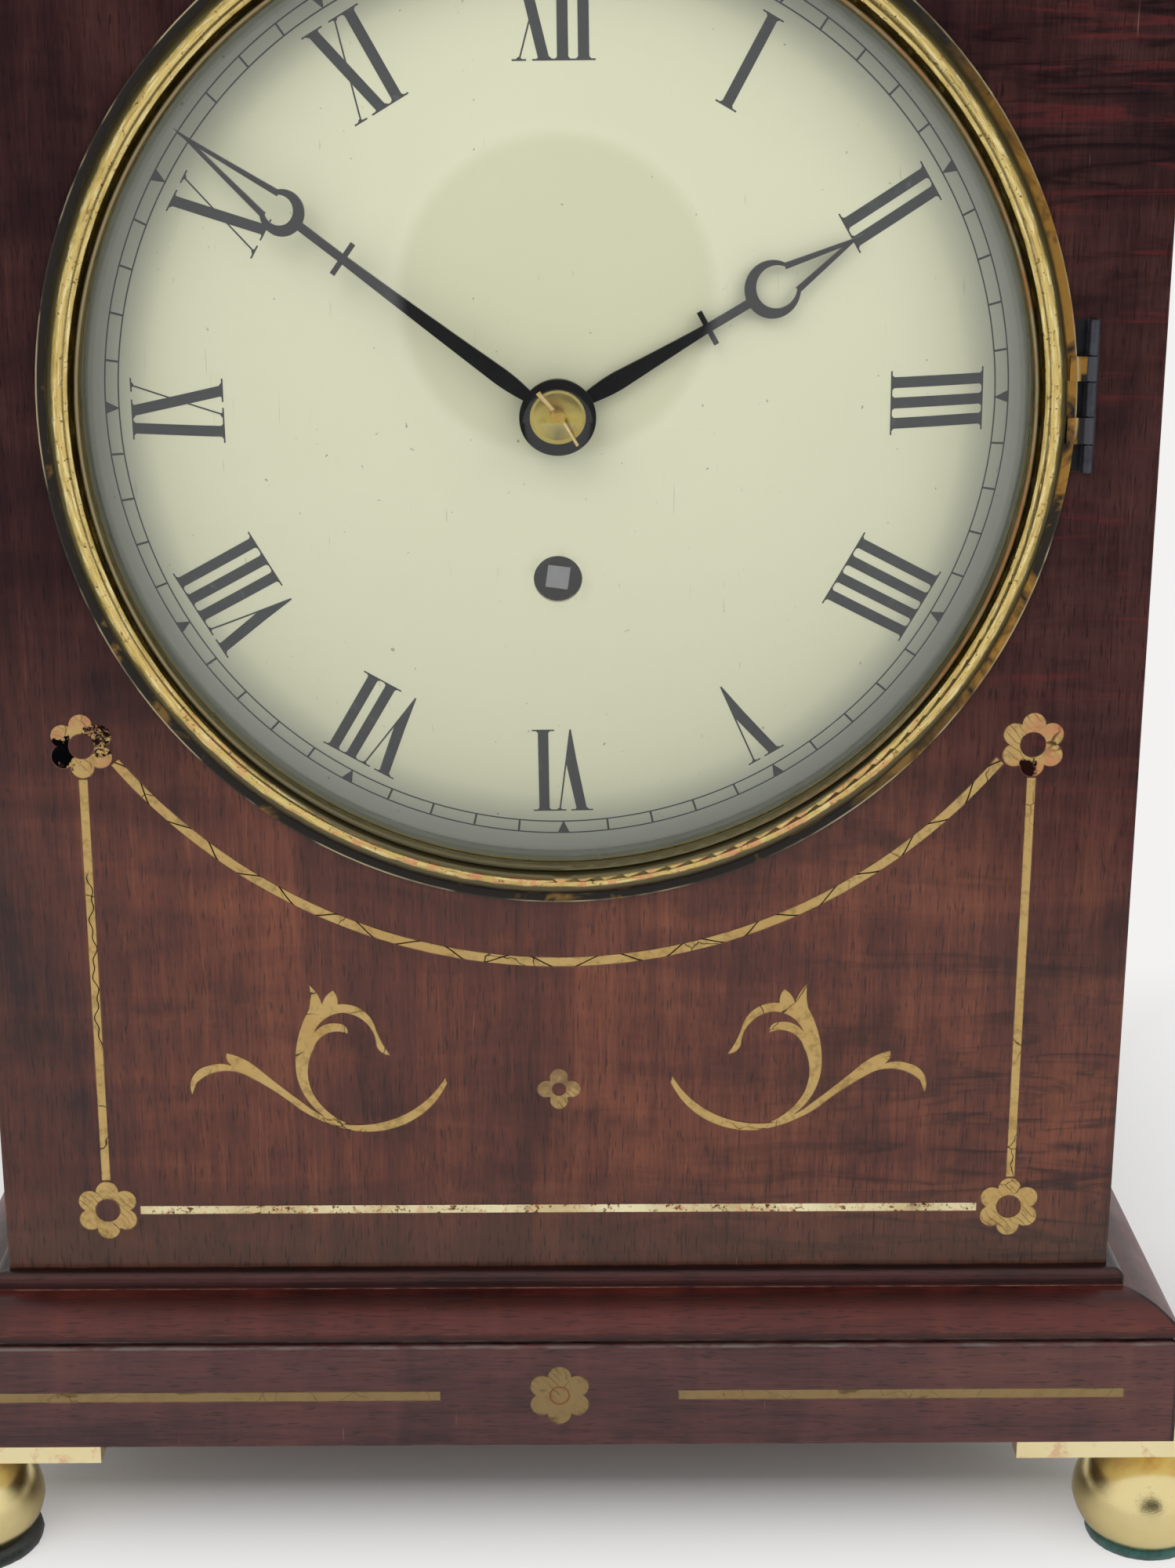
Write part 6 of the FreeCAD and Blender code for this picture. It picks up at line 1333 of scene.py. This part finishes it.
def mirrored_room(room):
    """What the polish and the glass mirror: a pale room, darker to the sides, and a round hole."""
    ahead = room.step("ShaderNodeTexCoord", "direction").outputs["Generated"]
    towards = room.step("ShaderNodeVectorMath", "towards the front", (
        ahead, (0, -math.cos(MIRROR_RISE), math.sin(MIRROR_RISE))), operation="DOT_PRODUCT")
    levels = [(0.0, 0.32), (0.55, 0.32), (0.72, 0.88), (0.9742, 0.90), (0.9750, 1.0), (0.9772, 1.0),
              (0.9780, 0.07), (1.0, 0.05)]
    walls = room.shades("walls", room.between(towards.outputs["Value"], -1.0, 1.0),
                        [(spot, (level, level, level, 1)) for spot, level in levels])
    _, _, up = room.axes(ahead)
    return room.largest(walls, room.between(up, 0.50, 0.80, 0.0, 0.92))


def room_light(stage):
    """Even pale light from all round; white to the camera, a studio to polish and glass."""
    world = bpy.data.worlds.new("studio")
    bpy.context.scene.world = world
    world.use_nodes = True
    room = Graph(world.node_tree)
    room.nodes.clear()

    def background(label, colour, strength):
        return room.step("ShaderNodeBackground", label, {"Color": colour, "Strength": strength})

    lit = background("light", WHITE, stage.world_light)
    mirrored = background("mirrored room", WHITE, mirrored_room(room))
    white = background("far white", with_alpha(linear(*FAR_WHITE)), 1.0)
    seen_in_polish = room.either("polish", room.rays("Glossy", "Transmission"), lit, mirrored)
    shown = room.either("camera", room.rays("Camera"), seen_in_polish, white)
    room.step("ShaderNodeOutputWorld", "world", {"Surface": shown.outputs[0]})


def set_camera(stage):
    """The camera stands in front of the dial, a little above it, and looks down at it."""
    down, right, lean = stage.tilt_down, stage.swing_right, stage.roll
    ahead = Vector((math.sin(right) * math.cos(down), math.cos(right) * math.cos(down),
                    -math.sin(down)))
    across = Vector((math.cos(right), -math.sin(right), 0))
    up = across.cross(ahead)
    side = across * math.cos(lean) + up * math.sin(lean)
    top = up * math.cos(lean) - across * math.sin(lean)
    data = bpy.data.cameras.new("camera")
    data.sensor_width = 36
    data.lens = stage.lens
    data.clip_start = 0.01
    camera = bpy.data.objects.new("camera", data)
    turn = Matrix((side, top, -ahead)).transposed().to_4x4()
    camera.matrix_world = Matrix.Translation(CAMERA_PLACE) @ turn
    bpy.context.scene.collection.objects.link(camera)
    bpy.context.scene.camera = camera


class CLOCK_OT_stage(bpy.types.Operator):
    """Lay the floor and the backdrop, hang the lamps and place the camera"""
    bl_idname = "clock.stage"
    bl_label = "Floor, lamps and camera"

    def execute(self, context):
        stage = context.scene.clock_stage
        studio_sweep(floor_finish(stage), "floor", [(FLOOR_FRONT_Y, 0.0), (FLOOR_END_Y, 0.0)])
        outline = [(FLOOR_END_Y, 0.0)]
        bends = 12
        for i in range(bends + 1):
            turn = math.pi / 2 * i / bends
            outline.append((BACKDROP_Y - BACKDROP_BEND * (1 - math.sin(turn)),
                            BACKDROP_BEND * (1 - math.cos(turn))))
        outline.append((BACKDROP_Y, 2.4))
        studio_sweep(backdrop_finish(), "backdrop", outline)
        soft_lamp("main_lamp", (-0.7, -1.3, 1.5), (0, 0, 0.22), 1.3, 1.3, stage.key_light)
        soft_lamp("second_lamp", (1.2, -0.9, 1.0), (0, 0, 0.2), 0.9, 1.2, stage.fill_light)
        room_light(stage)
        set_camera(stage)
        context.scene.view_settings.view_transform = "Standard"
        return {"FINISHED"}


STEPS = [
    CLOCK_OT_case_wood, CLOCK_OT_brass_inlay, CLOCK_OT_bezel, CLOCK_OT_dial, CLOCK_OT_hands,
    CLOCK_OT_feet, CLOCK_OT_side_fittings, CLOCK_OT_movement, CLOCK_OT_back_door, CLOCK_OT_stage,
]
SETTINGS = [
    ("clock_wood", ClockWoodSettings), ("clock_metal", ClockMetalSettings),
    ("clock_dial", ClockDialSettings), ("clock_cloth", ClockClothSettings),
    ("clock_stage", ClockStageSettings),
]


class CLOCK_PT_finishes(bpy.types.Panel):
    """Sizes, colours and steps of the clock"""
    bl_label = "Bracket clock"
    bl_idname = "CLOCK_PT_finishes"
    bl_space_type = "VIEW_3D"
    bl_region_type = "UI"
    bl_category = "Clock"

    def draw(self, context):
        layout = self.layout
        for step in STEPS:
            layout.operator(step.bl_idname)
        for name, group in SETTINGS:
            box = layout.box()
            settings = getattr(context.scene, name)
            for key in group.__annotations__:
                box.prop(settings, key)


def register():
    for name, group in SETTINGS:
        bpy.utils.register_class(group)
        setattr(bpy.types.Scene, name, PointerProperty(type=group))
    for step in STEPS:
        bpy.utils.register_class(step)
    bpy.utils.register_class(CLOCK_PT_finishes)


def unregister():
    bpy.utils.unregister_class(CLOCK_PT_finishes)
    for step in reversed(STEPS):
        bpy.utils.unregister_class(step)
    for name, group in reversed(SETTINGS):
        delattr(bpy.types.Scene, name)
        bpy.utils.unregister_class(group)


def main():
    register()
    bpy.ops.clock.case_wood()
    bpy.ops.clock.brass_inlay()
    bpy.ops.clock.bezel()
    bpy.ops.clock.dial()
    bpy.ops.clock.hands()
    bpy.ops.clock.feet()
    bpy.ops.clock.side_fittings()
    bpy.ops.clock.movement()
    bpy.ops.clock.back_door()
    bpy.ops.clock.stage()


if __name__ == "__main__":
    main()
